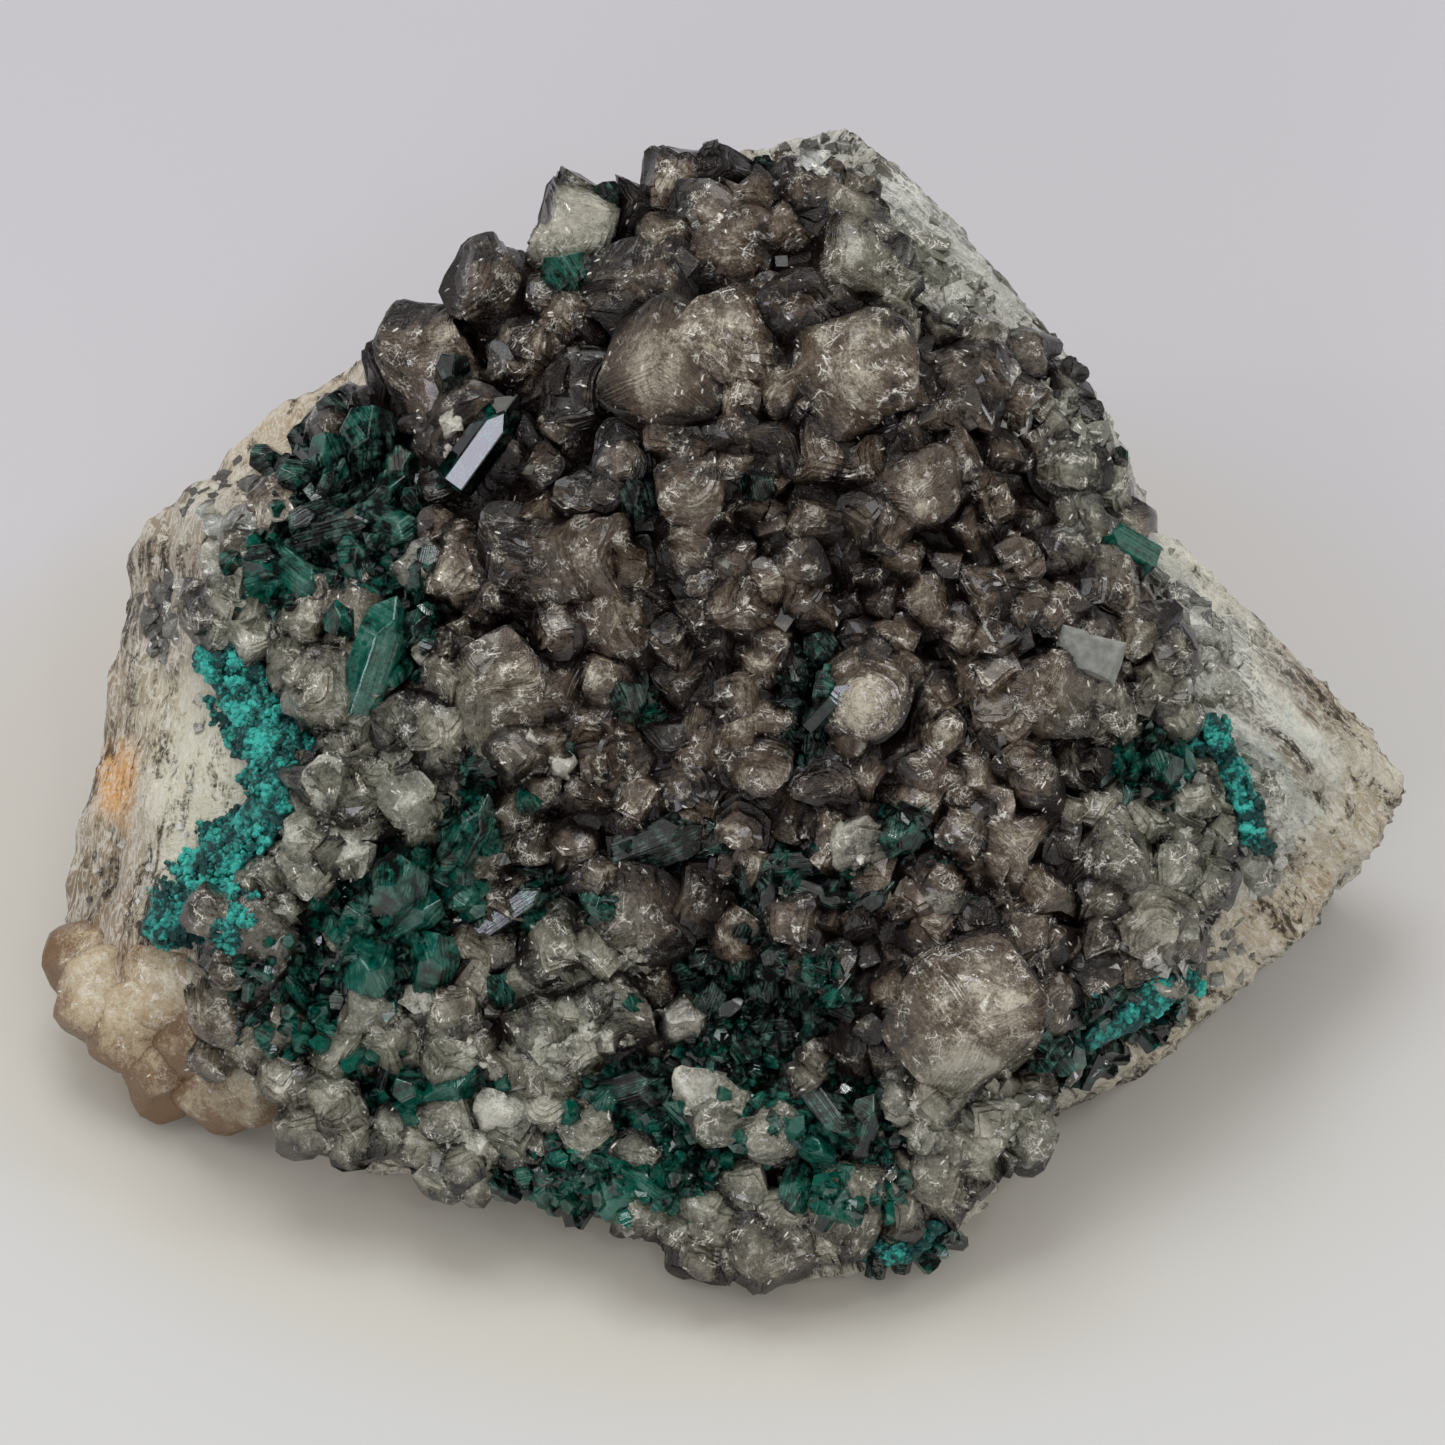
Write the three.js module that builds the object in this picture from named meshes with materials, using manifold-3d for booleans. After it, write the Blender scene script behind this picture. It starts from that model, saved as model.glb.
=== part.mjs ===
// A dioptase specimen: a lump of pale matrix that lies on a flat broken base. One face, turned up and
// forward, is grown over by smoky calcite crystals, emerald dioptase prisms and turquoise crusts.
// Millimetres, +Z up, the crystal face towards -Y, the origin under the middle of the specimen.

import * as THREE from "three";
import { mergeVertices } from "three/addons/utils/BufferGeometryUtils.js";
import Module from "manifold-3d";

const wasm = await Module();
wasm.setup();

// Driving dimensions. Places on the crystal face are squares of a survey grid laid flat over it, counted
// right and down from its top left corner.
const GRID_MM = 0.07; // side of one grid square
const GRID_MIDDLE = 722.5; // the grid has 1445 squares each way
const FACE_TILT = 50; // degrees that the face's outward direction stands above the horizontal
const CREST = 37; // how far the middle of the rock stands out of the grid's plane
const SHOULDER = 3.5; // how long the rock's front stays level before it falls to the rim
const CROWDING = 0.8; // under 1, the rings of the front lie closer together towards the rim
const FOOT_INSET = 0.16; // share by which the foot is smaller than the rim
const FOOT_DEPTH = -4; // the rock is made down to here and then cut flat at 0
const BACK_BULGE = 12; // how far the back swells out
const BACK_LUMPS = 1.4; // size of the lumps of the back against those of the front
const MIDDLE = [1.155, -15.416]; // what lies under the middle of the specimen, right and back

const GAP = 0.3; // clearance between one mineral and the next
const SLACK = 1.2; // a crust's outline is cleared by this many times the gap, because its corners are sharp
const LOWEST_CRYSTAL = 0.4; // crystals stop this far above the base
const CALCITE_SUNK = 0.2; // share of a crystal that is sunk in what it grows on
const DIOPTASE_SUNK = 0.22;
const ROOT = 0.2; // a crystal's root goes deeper by this share of its width
const KNOT_LIFT = 0.2; // a knot's middle above the rock, and half its height, as shares of its height
const KNOT_HIGH = 0.65;
const SPLINTER = 2; // volume in mm3 under which a cut-off splinter is left out
const CRUST_SPLINTER = 1000;

const FRONT_RINGS = 5;
const BACK_RINGS = 4;

const radians = THREE.MathUtils.degToRad;
const RIGHT = new THREE.Vector3(1, 0, 0);
const UP_FACE = new THREE.Vector3(0, Math.sin(radians(FACE_TILT)), Math.cos(radians(FACE_TILT)));
const OUT = new THREE.Vector3(0, -Math.cos(radians(FACE_TILT)), Math.sin(radians(FACE_TILT)));

// The rim of the rock, clockwise from the top: grid column, grid row, millimetres out of the grid's plane.
const RIM = [
  [795, 130, 26], [850, 128, 26.5], [890, 155, 27], [940, 205, 27], [990, 258, 27], [1025, 315, 27],
  [1065, 365, 27], [1105, 412, 27], [1130, 470, 26.5], [1150, 515, 26], [1205, 565, 25], [1310, 660, 23],
  [1360, 708, 21.5], [1405, 755, 20.5], [1418, 795, 20], [1375, 842, 23], [1300, 930, 26.5],
  [1215, 1003, 29], [1170, 1043, 30], [1110, 1073, 31], [1048, 1105, 31.5], [1030, 1155, 32.5],
  [985, 1205, 33.5], [940, 1248, 34.2], [880, 1270, 34.5], [800, 1280, 34.6], [720, 1266, 34.2],
  [580, 1212, 33.2], [500, 1182, 32.5], [420, 1172, 32], [350, 1148, 31], [290, 1118, 29.5],
  [205, 1097, 27.5], [130, 1072, 26], [65, 1020, 24], [60, 960, 22], [64, 890, 20], [80, 800, 18.5],
  [100, 720, 18], [112, 650, 18], [130, 580, 18.5], [132, 545, 19], [165, 500, 20], [240, 440, 18],
  [290, 398, 17], [340, 372, 17], [385, 356, 20], [430, 340, 25], [480, 305, 27], [570, 245, 27],
  [620, 215, 27], [670, 188, 27], [740, 160, 27],
];
const HUB = [720, 700]; // the grid square that the rim goes round
const HUB_FOOT = 20; // the foot's middle lies behind the hub, this far out of the grid's plane

// Broad hollows and swells of the front: grid column, grid row, radius, height.
const SWELLS = [
  [520, 1000, 13, -3.2], [360, 520, 8, -2.4], [1150, 780, 6, -3], [700, 980, 8, -1.8],
  [900, 480, 14, 2.2], [960, 1010, 8, 1.5], [200, 760, 8, 1.6], [240, 480, 7, 1.5],
];

// Flat breaks across the back and sides: compass bearing of the side they face in degrees (0 right,
// 90 back), degrees they lean up, distance from the middle of the foot.
const BREAKS = [
  [62, 12, 38], [118, 24, 39], [152, 8, 45], [22, 30, 44], [200, -14, 47], [335, -22, 41], [90, 48, 53],
];

// Habits of crystal, from root to shoulder: share of the half width, share of the height. The tip's three
// faces start at the last of them.
const HABITS = {
  dome: [[1.04, 0], [0.96, 0.7]],
  rhomb: [[1, 0], [1.04, 0.6]],
  barrel: [[0.96, 0], [1.04, 0.45], [0.86, 0.82]],
  prism: [[1, 0], [1, 0.82]],
};

// Calcite: grid column, grid row, width, height, degrees it points round from the right, degrees it rises.
const CALCITES = {
  dome: [
    [445, 358, 7.6, 8, 60, 60], [575, 226, 6.2, 6.5, 100, 50], [645, 292, 7.2, 6.5, 120, 70],
    [640, 212, 4.6, 5, 120, 60], [680, 182, 5, 6, 90, 55], [808, 190, 4.8, 4.5, 90, 65],
    [710, 230, 5.6, 5.5, 90, 70], [850, 272, 6.6, 5, 120, 75], [668, 372, 9, 9.5, 150, 76],
    [570, 378, 5.8, 4.2, 200, 70], [628, 458, 4.6, 5.5, 200, 76], [492, 456, 7.4, 4.5, 260, 72],
    [514, 556, 6.2, 6, 170, 60], [503, 686, 6.6, 6.5, 190, 62], [558, 690, 6, 5, 300, 65],
    [818, 462, 5.2, 4.5, 240, 74], [812, 519, 5, 5.5, 120, 74], [960, 388, 4.9, 6, 290, 72],
    [1012, 414, 4.6, 4.5, 300, 70], [915, 492, 6, 6.5, 240, 74], [1062, 476, 5.4, 5.5, 30, 68],
    [1096, 590, 5.8, 5, 300, 65], [986, 592, 5.2, 5, 230, 74], [745, 603, 4.6, 5.5, 240, 72],
    [702, 738, 4.8, 4.5, 200, 72], [753, 768, 4.9, 6.5, 300, 66], [738, 826, 4.8, 4, 250, 70],
    [864, 695, 7.2, 8.5, 260, 74], [866, 772, 5, 4.5, 280, 66], [935, 732, 4.6, 5, 320, 68],
    [915, 806, 5.2, 4.5, 260, 70], [976, 772, 4.6, 4.5, 310, 70], [962, 676, 4.6, 4.5, 100, 74],
    [1043, 690, 6.6, 6.5, 270, 70], [1058, 766, 4.8, 4.5, 290, 68], [1112, 856, 5.2, 5.5, 270, 64],
    [1170, 836, 3.9, 5.5, 310, 58], [1146, 924, 5.6, 5.5, 290, 60], [965, 1012, 10.8, 10, 292, 66],
    [830, 975, 4.8, 6, 280, 62], [768, 1126, 4.9, 6, 250, 60], [640, 916, 7.2, 7, 250, 66],
    [346, 1048, 4.8, 5, 230, 58], [472, 884, 5.6, 4.5, 250, 66], [548, 1108, 4.6, 4, 250, 60],
    [845, 1200, 5.4, 5.5, 230, 56], [934, 1188, 4.8, 4.5, 300, 56], [702, 1248, 4.6, 4.5, 260, 50],
    [640, 1204, 5.2, 4.5, 250, 55], [250, 1040, 4.8, 4.4, 220, 50],
  ],
  rhomb: [
    [785, 238, 3.9, 4.5, 60, 66], [890, 348, 4.4, 6.5, 60, 62], [936, 340, 3.7, 4.5, 60, 70],
    [950, 456, 4.8, 5.5, 60, 70], [966, 533, 4.5, 5, 100, 78], [920, 606, 5.3, 5.5, 70, 76],
    [1008, 843, 5.6, 6.5, 330, 66], [1028, 1040, 4.2, 6, 320, 54], [1090, 984, 5, 3.5, 290, 60],
    [400, 756, 4.6, 3.5, 200, 66], [765, 1254, 5.6, 5.5, 265, 46], [346, 932, 4, 4.5, 200, 60],
  ],
  barrel: [
    [506, 296, 6, 8, 140, 36], [846, 378, 6.6, 9, 32, 42], [580, 568, 5.4, 9, 8, 36],
    [604, 622, 4.8, 7, 5, 36], [692, 508, 4.4, 8, 96, 50], [612, 1004, 5, 7.5, 285, 44],
    [250, 930, 6.6, 8, 105, 50], [218, 1004, 4.2, 6, 110, 46],
  ],
};

// Frosted knots of small white calcite: grid column, grid row, width, height.
const KNOTS = [
  [326, 696, 5, 3.6], [242, 606, 6, 3.2], [340, 790, 5.6, 3.6], [326, 848, 6.4, 4.4],
  [420, 802, 5.8, 4.4], [536, 756, 4.6, 4], [452, 1000, 6.6, 4], [470, 1056, 4.6, 4.2],
  [562, 1046, 6.6, 5], [548, 950, 5, 4], [712, 1102, 6, 4.6], [782, 1046, 4, 3.4],
  [916, 1102, 6.6, 4], [458, 1160, 6.6, 4], [340, 1128, 6.2, 3.6], [1010, 1118, 6, 3.4],
];

// Dioptase by place on the specimen: grid column, grid row, width, length, degrees it points round from
// the right, degrees it rises.
const DIOPTASES = {
  dioptase_hero: [[492, 436, 2.9, 8.2, 56, 14]],
  dioptase_upper_left: [
    [379, 655, 3.7, 8.6, 70, 22], [363, 574, 2.5, 6.4, 108, 28], [328, 488, 2, 5.8, 60, 30],
    [368, 446, 4.2, 8, 82, 42], [398, 532, 3, 5, 335, 34], [338, 414, 2.8, 5, 120, 48],
  ],
  dioptase_left_pocket: [[270, 566, 3, 5, 165, 36], [306, 580, 2.6, 4.4, 320, 40]],
  dioptase_left_edge: [[206, 622, 1.9, 3.2, 320, 40]],
  dioptase_back_left: [[266, 460, 2.2, 4, 150, 44]],
  dioptase_ridge: [[568, 280, 3.9, 6, 100, 58]],
  dioptase_crest: [[609, 199, 2.1, 3.4, 110, 40]],
  dioptase_on_calcite: [[453, 374, 2.5, 6, 80, 66]],
  dioptase_bead: [[757, 489, 2.7, 5, 90, 78]],
  dioptase_right_edge: [[1112, 543, 2.7, 4.6, 150, 34]],
  dioptase_middle_left: [[470, 832, 2.9, 6.8, 62, 20]],
  dioptase_lying: [[521, 902, 2.8, 6.2, 35, 12]],
  dioptase_shelf: [[556, 738, 2.6, 4, 160, 30]],
  dioptase_hollow: [[629, 702, 3, 5, 95, 62]],
  dioptase_niche: [[640, 502, 3, 4.6, 90, 62]],
  dioptase_fan: [[668, 838, 4, 6, 20, 24]],
  dioptase_lower_left: [
    [398, 886, 4.4, 6.4, 60, 50], [436, 958, 3.6, 5.4, 80, 46], [372, 968, 3.6, 5.4, 250, 44],
  ],
  dioptase_lower_left_tip: [[503, 990, 2.6, 4, 90, 54]],
  dioptase_low_row: [[452, 1084, 3.2, 4.6, 30, 40], [414, 1088, 2.6, 4, 150, 44]],
  dioptase_low_shelf: [[640, 1086, 3.4, 5, 16, 30]],
  dioptase_centre_row: [
    [768, 894, 2, 4.6, 84, 30], [800, 862, 2.1, 5.2, 4, 16], [826, 892, 2.3, 5.4, 342, 16],
  ],
  dioptase_centre_right: [[898, 836, 3.1, 4.6, 34, 50]],
  dioptase_centre_low: [
    [708, 1000, 2.4, 4, 60, 50], [745, 1042, 2.4, 4, 280, 54], [735, 972, 2, 3.8, 60, 50],
    [764, 996, 2.2, 4, 80, 54],
  ],
  dioptase_spear: [[830, 1112, 3, 7, 306, 26], [862, 1126, 2.6, 5.8, 72, 22]],
  dioptase_foot: [[798, 1186, 2.8, 4.6, 250, 44]],
  dioptase_right_low: [[1060, 1046, 2.9, 5.4, 300, 28]],
  dioptase_right_pocket: [[1160, 772, 2.9, 4.6, 60, 50]],
  dioptase_dark_pocket: [[818, 734, 2, 5, 250, 40]],
  dioptase_peak: [[822, 652, 2.6, 4.4, 110, 50]],
};

// The smoky floor that the crystals are rooted in: outline on the grid, thickness, and how far out of the
// grid's plane it begins.
const FLOOR = {
  thick: 0.9,
  start: 24,
  outline: [
    [560, 258], [690, 196], [800, 180], [868, 225], [905, 310], [1040, 352], [1095, 410], [1122, 480],
    [1140, 600], [1185, 700], [1222, 790], [1222, 880], [1170, 962], [1080, 1020], [1000, 1150],
    [930, 1205], [850, 1245], [740, 1245], [640, 1208], [470, 1150], [360, 1122], [250, 1060],
    [205, 1000], [222, 890], [300, 840], [340, 768], [300, 700], [225, 612], [236, 540], [285, 470],
    [340, 410], [440, 350],
  ],
};

// Thin crusts of turquoise micro-crystals: outline on the grid.
const TURQUOISE_THICK = 1.1;
const TURQUOISE_START = 15;
const TURQUOISES = {
  turquoise_band: [
    [192, 655], [214, 634], [244, 640], [286, 682], [280, 710], [326, 755], [310, 782], [274, 846],
    [224, 886], [184, 936], [156, 946], [140, 934], [152, 904], [202, 858], [246, 806], [254, 776],
    [230, 716],
  ],
  turquoise_streak: [
    [1196, 716], [1216, 712], [1250, 780], [1270, 850], [1252, 850], [1224, 790],
  ],
  turquoise_low_edge: [
    [1112, 1012], [1140, 986], [1170, 974], [1190, 984], [1140, 1026], [1088, 1052], [1082, 1034],
  ],
  turquoise_foot: [[868, 1240], [894, 1222], [930, 1215], [948, 1226], [906, 1262], [884, 1262]],
};

const stone = new THREE.MeshStandardMaterial({ color: 0xa39a8b, roughness: 0.9, metalness: 0 });
const smoky = new THREE.MeshStandardMaterial({ color: 0x6c645c, roughness: 0.35, metalness: 0 });
const emerald = new THREE.MeshStandardMaterial({ color: 0x07433a, roughness: 0.15, metalness: 0 });
const turquoise = new THREE.MeshStandardMaterial({ color: 0x1b8a80, roughness: 0.6, metalness: 0 });

// Millimetres to the right and up the face of a grid square.
function onFace([column, row]) {
  return [(column - GRID_MIDDLE) * GRID_MM, (GRID_MIDDLE - row) * GRID_MM];
}

// A point in space from its place on the face and its distance out of the grid's plane.
function inSpace(right, up, out) {
  const point = RIGHT.clone().multiplyScalar(right);
  return point.addScaledVector(UP_FACE, up).addScaledVector(OUT, out);
}

// A closed geometry as a solid for cutting and joining.
function solidOf(geometry) {
  const loose = geometry.index ? geometry.toNonIndexed() : geometry;
  const bare = new THREE.BufferGeometry().setAttribute("position", loose.getAttribute("position"));
  const merged = mergeVertices(bare, 1e-4);
  return new wasm.Manifold(
    new wasm.Mesh({
      numProp: 3,
      vertProperties: merged.attributes.position.array,
      triVerts: new Uint32Array(merged.index.array),
    }),
  );
}

function geometryOf(solid) {
  const mesh = solid.getMesh();
  const corners = new Float32Array(mesh.numVert * 3);
  for (let i = 0; i < mesh.numVert; i++) {
    corners.set(mesh.vertProperties.subarray(i * mesh.numProp, i * mesh.numProp + 3), i * 3);
  }
  return new THREE.BufferGeometry()
    .setAttribute("position", new THREE.BufferAttribute(corners, 3))
    .setIndex(new THREE.BufferAttribute(mesh.triVerts, 1));
}

// Moves every corner of a geometry to where place(corner, index) says.
function reshape(geometry, place) {
  const corners = geometry.getAttribute("position");
  for (let i = 0; i < corners.count; i++) {
    const corner = place(new THREE.Vector3().fromBufferAttribute(corners, i), i);
    corners.setXYZ(i, corner.x, corner.y, corner.z);
  }
  return geometry;
}

const join = (solids) => wasm.Manifold.union(solids);

// Blocks, wide enough to cut the whole specimen, that fill everything past a plane and below a height.
const BLOCK = 200;

function beyond(bearing, lean, distance, middle) {
  const block = new THREE.BoxGeometry(BLOCK, BLOCK, BLOCK).translate(BLOCK / 2 + distance, 0, 0);
  block.rotateY(-radians(lean)).rotateZ(radians(bearing));
  return solidOf(block.translate(middle.x, middle.y, 0));
}

function below(height) {
  return solidOf(new THREE.BoxGeometry(BLOCK, BLOCK, BLOCK).translate(0, 0, height - BLOCK / 2));
}

// Height of the broad hollows and swells at a place on the face.
function swellAt(right, up) {
  let height = 0;
  for (const [column, row, radius, rise] of SWELLS) {
    const [x, y] = onFace([column, row]);
    height += rise * Math.exp(-((right - x) ** 2 + (up - y) ** 2) / radius ** 2);
  }
  return height;
}

// The small lumps that cover the whole rock.
function lump({ x, y, z }) {
  const broad = Math.sin(x / 2.9 + 1.3 * Math.sin(y / 4.1)) * Math.sin(z / 3.3 + y / 5.2);
  const fine = Math.sin(x / 1.7 + z / 2.3) * Math.cos(y / 1.9 - x / 4.7);
  return 0.55 * broad + 0.45 * fine;
}

// The rock, swollen all over by grow: a ball whose columns run through the rim's points. Its front half is
// drawn to the face and its back half runs down to the foot.
function rockSolid(grow) {
  const ball = new THREE.SphereGeometry(1, RIM.length, FRONT_RINGS + BACK_RINGS);
  const [hubRight, hubUp] = onFace(HUB);
  const foot = inSpace(hubRight, hubUp, HUB_FOOT).setZ(FOOT_DEPTH);
  const rows = RIM.length + 1;
  reshape(ball, (corner, i) => {
    const ring = Math.floor(i / rows);
    const [column, row, rimOut] = RIM[(2 * RIM.length - (i % rows)) % RIM.length];
    const [rimRight, rimUp] = onFace([column, row]);
    const reach = new THREE.Vector2(rimRight - hubRight, rimUp - hubUp);
    reach.setLength(reach.length() + grow);
    const share = Math.min(1, (ring / FRONT_RINGS) ** CROWDING);
    const [right, up] = [hubRight + reach.x * share, hubUp + reach.y * share];
    const swell = swellAt(right, up) * (1 - share ** 6);
    const point = inSpace(right, up, rimOut + (CREST - rimOut) * (1 - share ** SHOULDER) + swell);
    if (ring <= FRONT_RINGS) {
      return point.addScaledVector(OUT, lump(point) * (share < 1 ? 1 : 0.3) + grow * 1.4);
    }
    const down = (ring - FRONT_RINGS) / (BACK_RINGS - 1);
    if (down > 1) return foot.clone();
    const height = point.z;
    point.lerp(foot, FOOT_INSET * down).setZ(THREE.MathUtils.lerp(height, foot.z, down));
    const swollen = BACK_BULGE * Math.max(0, reach.y / reach.length()) * Math.sin(Math.PI * down * 0.8);
    const side = point.clone().sub(foot).setZ(0).normalize();
    return point.addScaledVector(side, lump(point) * BACK_LUMPS + swollen + grow * 0.7);
  });
  const broken = BREAKS.map(([bearing, lean, distance]) => beyond(bearing, lean, distance + grow, foot));
  return solidOf(ball).subtract(join([below(0), ...broken]));
}

// A mesh of a solid that a ray can meet.
function ground(solid) {
  return new THREE.Mesh(geometryOf(solid), new THREE.MeshBasicMaterial({ side: THREE.DoubleSide }));
}

// How far out of the grid's plane the ground lies. Past its edge, the nearest ground towards the middle.
function groundOut(under, right, up) {
  const ray = new THREE.Raycaster();
  for (let share = 1; share > 0.5; share -= 0.02) {
    ray.set(inSpace(right * share, up * share, 100), OUT.clone().negate());
    const [hit] = ray.intersectObject(under);
    if (hit) return hit.point.dot(OUT);
  }
  throw new Error("no ground under a crystal");
}

// The turn and place of a crystal whose middle lies over a grid square.
function stance([column, row, width, tall, points, rise], under, sunk) {
  const [right, up] = onFace([column, row]);
  const [round, lift] = [radians(points), radians(rise)];
  const across = inSpace(-Math.sin(round), Math.cos(round), 0);
  const axis = inSpace(Math.cos(round) * Math.cos(lift), Math.sin(round) * Math.cos(lift), Math.sin(lift));
  const facing = axis.clone().cross(across);
  const depth = tall * Math.sin(lift) + width * Math.cos(lift);
  const out = groundOut(under, right, up) + depth * (0.5 - sunk);
  return new THREE.Matrix4().makeBasis(across.negate(), axis, facing).setPosition(inSpace(right, up, out));
}

// A six-sided crystal with a tip of three flat faces, grown by a clearance all over.
function crystalSolid(crystal, habit, under, sunk, grow) {
  const [, , width, tall] = crystal;
  const half = width / 2 + grow;
  const top = tall / 2 + grow;
  const root = -top - width * ROOT;
  const rings = HABITS[habit].map(([wide, high]) => [wide * half, root + high * (top - root)]);
  const profile = [[0, root], ...rings, [0, top]].map(([x, y]) => new THREE.Vector2(x, y));
  const shoulder = profile.length - 2;
  const step = (top - profile[shoulder].y) / 3;
  const body = reshape(new THREE.LatheGeometry(profile, 6), (corner, i) => {
    const [side, level] = [Math.floor(i / profile.length), i % profile.length];
    if (level === shoulder) corner.y += side % 2 ? step : -step;
    return corner;
  });
  return solidOf(body.applyMatrix4(stance(crystal, under, sunk)));
}

// A knot of frosty calcite: a low uneven ball half sunk in the rock.
function knotSolid([column, row, width, tall], under, grow) {
  const [right, up] = onFace([column, row]);
  const base = groundOut(under, right, up) + tall * KNOT_LIFT;
  const [wide, high] = [width / 2 + grow, tall * KNOT_HIGH + grow];
  const ball = reshape(new THREE.OctahedronGeometry(1, 1), (corner) => {
    const { x, y, z } = corner;
    const uneven = 1 + 0.16 * Math.sin(5 * x + column) * Math.cos(4 * y + row) + 0.1 * Math.sin(7 * z);
    return inSpace(right + x * uneven * wide, up + y * uneven * wide, base + z * uneven * high);
  });
  return solidOf(ball);
}

// A crust that follows the rock inside an outline: the swollen rock cut to the outline, which is wider all
// round by grow.
function crustSolid(outline, thick, start, grow) {
  const corners = outline.map((square) => new THREE.Vector2(...onFace(square)));
  const shape = new THREE.Shape(
    corners.map((corner, i) => {
      const before = corners.at(i - 1);
      const after = corners[(i + 1) % corners.length];
      const away = after.clone().sub(before).normalize();
      return corner.clone().add(new THREE.Vector2(-away.y, away.x).multiplyScalar(grow * SLACK));
    }),
  );
  const wall = new THREE.ExtrudeGeometry(shape, { depth: CREST, bevelEnabled: false });
  const origin = OUT.clone().multiplyScalar(start);
  const face = new THREE.Matrix4().makeBasis(RIGHT, UP_FACE, OUT).setPosition(origin);
  return rockSolid(GAP + thick + grow).intersect(solidOf(wall.applyMatrix4(face)));
}

function calciteSolid(under, grow) {
  const grown = [crustSolid(FLOOR.outline, FLOOR.thick, FLOOR.start, grow)];
  for (const [habit, crystals] of Object.entries(CALCITES)) {
    for (const crystal of crystals) grown.push(crystalSolid(crystal, habit, under, CALCITE_SUNK, grow));
  }
  for (const knot of KNOTS) grown.push(knotSolid(knot, under, grow));
  return join(grown);
}

function dioptaseSolid(crystals, under, grow) {
  return join(crystals.map((crystal) => crystalSolid(crystal, "prism", under, DIOPTASE_SUNK, grow)));
}

// The minerals in the order they grew, each cut clear of those before it.
const rock = rockSolid(0);
const rockGround = ground(rock);
const rockTaken = join([rockSolid(GAP), below(LOWEST_CRYSTAL)]);
const calcite = calciteSolid(rockGround, 0).subtract(rockTaken);
const calciteGround = ground(calcite.add(rock));
const calciteTaken = calciteSolid(rockGround, GAP).add(rockTaken);
const dioptases = Object.entries(DIOPTASES);
const dioptaseTaken = join(dioptases.map(([, crystals]) => dioptaseSolid(crystals, calciteGround, GAP)));
const allTaken = calciteTaken.add(dioptaseTaken);

const specimen = new THREE.Group();
specimen.position.set(-MIDDLE[0], -MIDDLE[1], 0);

// Adds a solid as named meshes, one for each separate piece of it.
function addMineral(name, solid, material, splinter = SPLINTER) {
  const pieces = solid.decompose().filter((piece) => piece.volume() > splinter);
  pieces.sort((one, other) => other.volume() - one.volume());
  pieces.forEach((piece, i) => {
    const mesh = new THREE.Mesh(geometryOf(piece.simplify(0.02)), material);
    mesh.name = i === 0 ? name : `${name}_${i + 1}`;
    specimen.add(mesh);
  });
}

addMineral("matrix_rock", rock, stone);
addMineral("calcite_crust", calcite, smoky, CRUST_SPLINTER);
for (const [name, crystals] of dioptases) {
  addMineral(name, dioptaseSolid(crystals, calciteGround, 0).subtract(calciteTaken), emerald);
}
for (const [name, outline] of Object.entries(TURQUOISES)) {
  const crust = crustSolid(outline, TURQUOISE_THICK, TURQUOISE_START, 0);
  addMineral(name, crust.subtract(allTaken), turquoise);
}

export default specimen;
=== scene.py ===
# %% [markdown]
# # A dioptase specimen
#
# On the desk this is a lump of pale rock with one good face. Smoky calcite crystals crowd over that face,
# emerald dioptase prisms stand in the hollows between them, frosty white druse sits on both, and thin crusts
# of turquoise micro-crystals run along the edges. The solids of the frame give the main forms. This lesson
# gives each mineral its real surface.
# %% Load the solids
import math
import random

import bmesh
import bpy
import numpy as np
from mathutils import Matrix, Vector, noise
from mathutils.bvhtree import BVHTree


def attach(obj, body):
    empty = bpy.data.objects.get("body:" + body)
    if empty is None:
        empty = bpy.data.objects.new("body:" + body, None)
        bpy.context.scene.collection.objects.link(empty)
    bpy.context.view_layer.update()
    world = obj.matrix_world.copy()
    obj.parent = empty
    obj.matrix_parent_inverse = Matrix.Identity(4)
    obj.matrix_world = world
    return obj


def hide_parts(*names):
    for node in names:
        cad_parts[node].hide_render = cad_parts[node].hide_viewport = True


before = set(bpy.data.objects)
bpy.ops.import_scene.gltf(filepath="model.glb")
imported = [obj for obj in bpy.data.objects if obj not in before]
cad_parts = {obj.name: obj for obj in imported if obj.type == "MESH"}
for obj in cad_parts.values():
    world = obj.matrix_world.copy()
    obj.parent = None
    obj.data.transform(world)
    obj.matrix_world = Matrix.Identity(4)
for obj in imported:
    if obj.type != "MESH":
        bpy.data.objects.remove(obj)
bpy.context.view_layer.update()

MM = 0.001  # one millimetre in Blender's metres

# %% [markdown]
# ## The survey grid
#
# Every crystal of the real face has its own place, so it is found by a survey: a square grid laid flat over
# the face, which leans back at 50 degrees. A place is a column, a row, and how far out of the grid's plane
# it lies in millimetres. Everything below is worked out in millimetres and is turned into metres only when a
# mesh is built.
# %% Places on the face
GRID_MM = 0.07  # side of one grid square
GRID_MIDDLE = 722.5  # the grid has 1445 squares each way
FACE_TILT = math.radians(50)
MIDDLE = np.array([1.155, -15.416, 0.0])  # what lies under the middle of the specimen
RIGHT = np.array([1.0, 0.0, 0.0])
UP_FACE = np.array([0.0, math.sin(FACE_TILT), math.cos(FACE_TILT)])
OUT = np.array([0.0, -math.cos(FACE_TILT), math.sin(FACE_TILT)])


def face_place(column, row, out):
    """The point in space, in millimetres, over a grid square and so far out of the grid's plane."""
    right = (column - GRID_MIDDLE) * GRID_MM
    up = (GRID_MIDDLE - row) * GRID_MM
    return right * RIGHT + up * UP_FACE + out * OUT - MIDDLE


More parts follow.
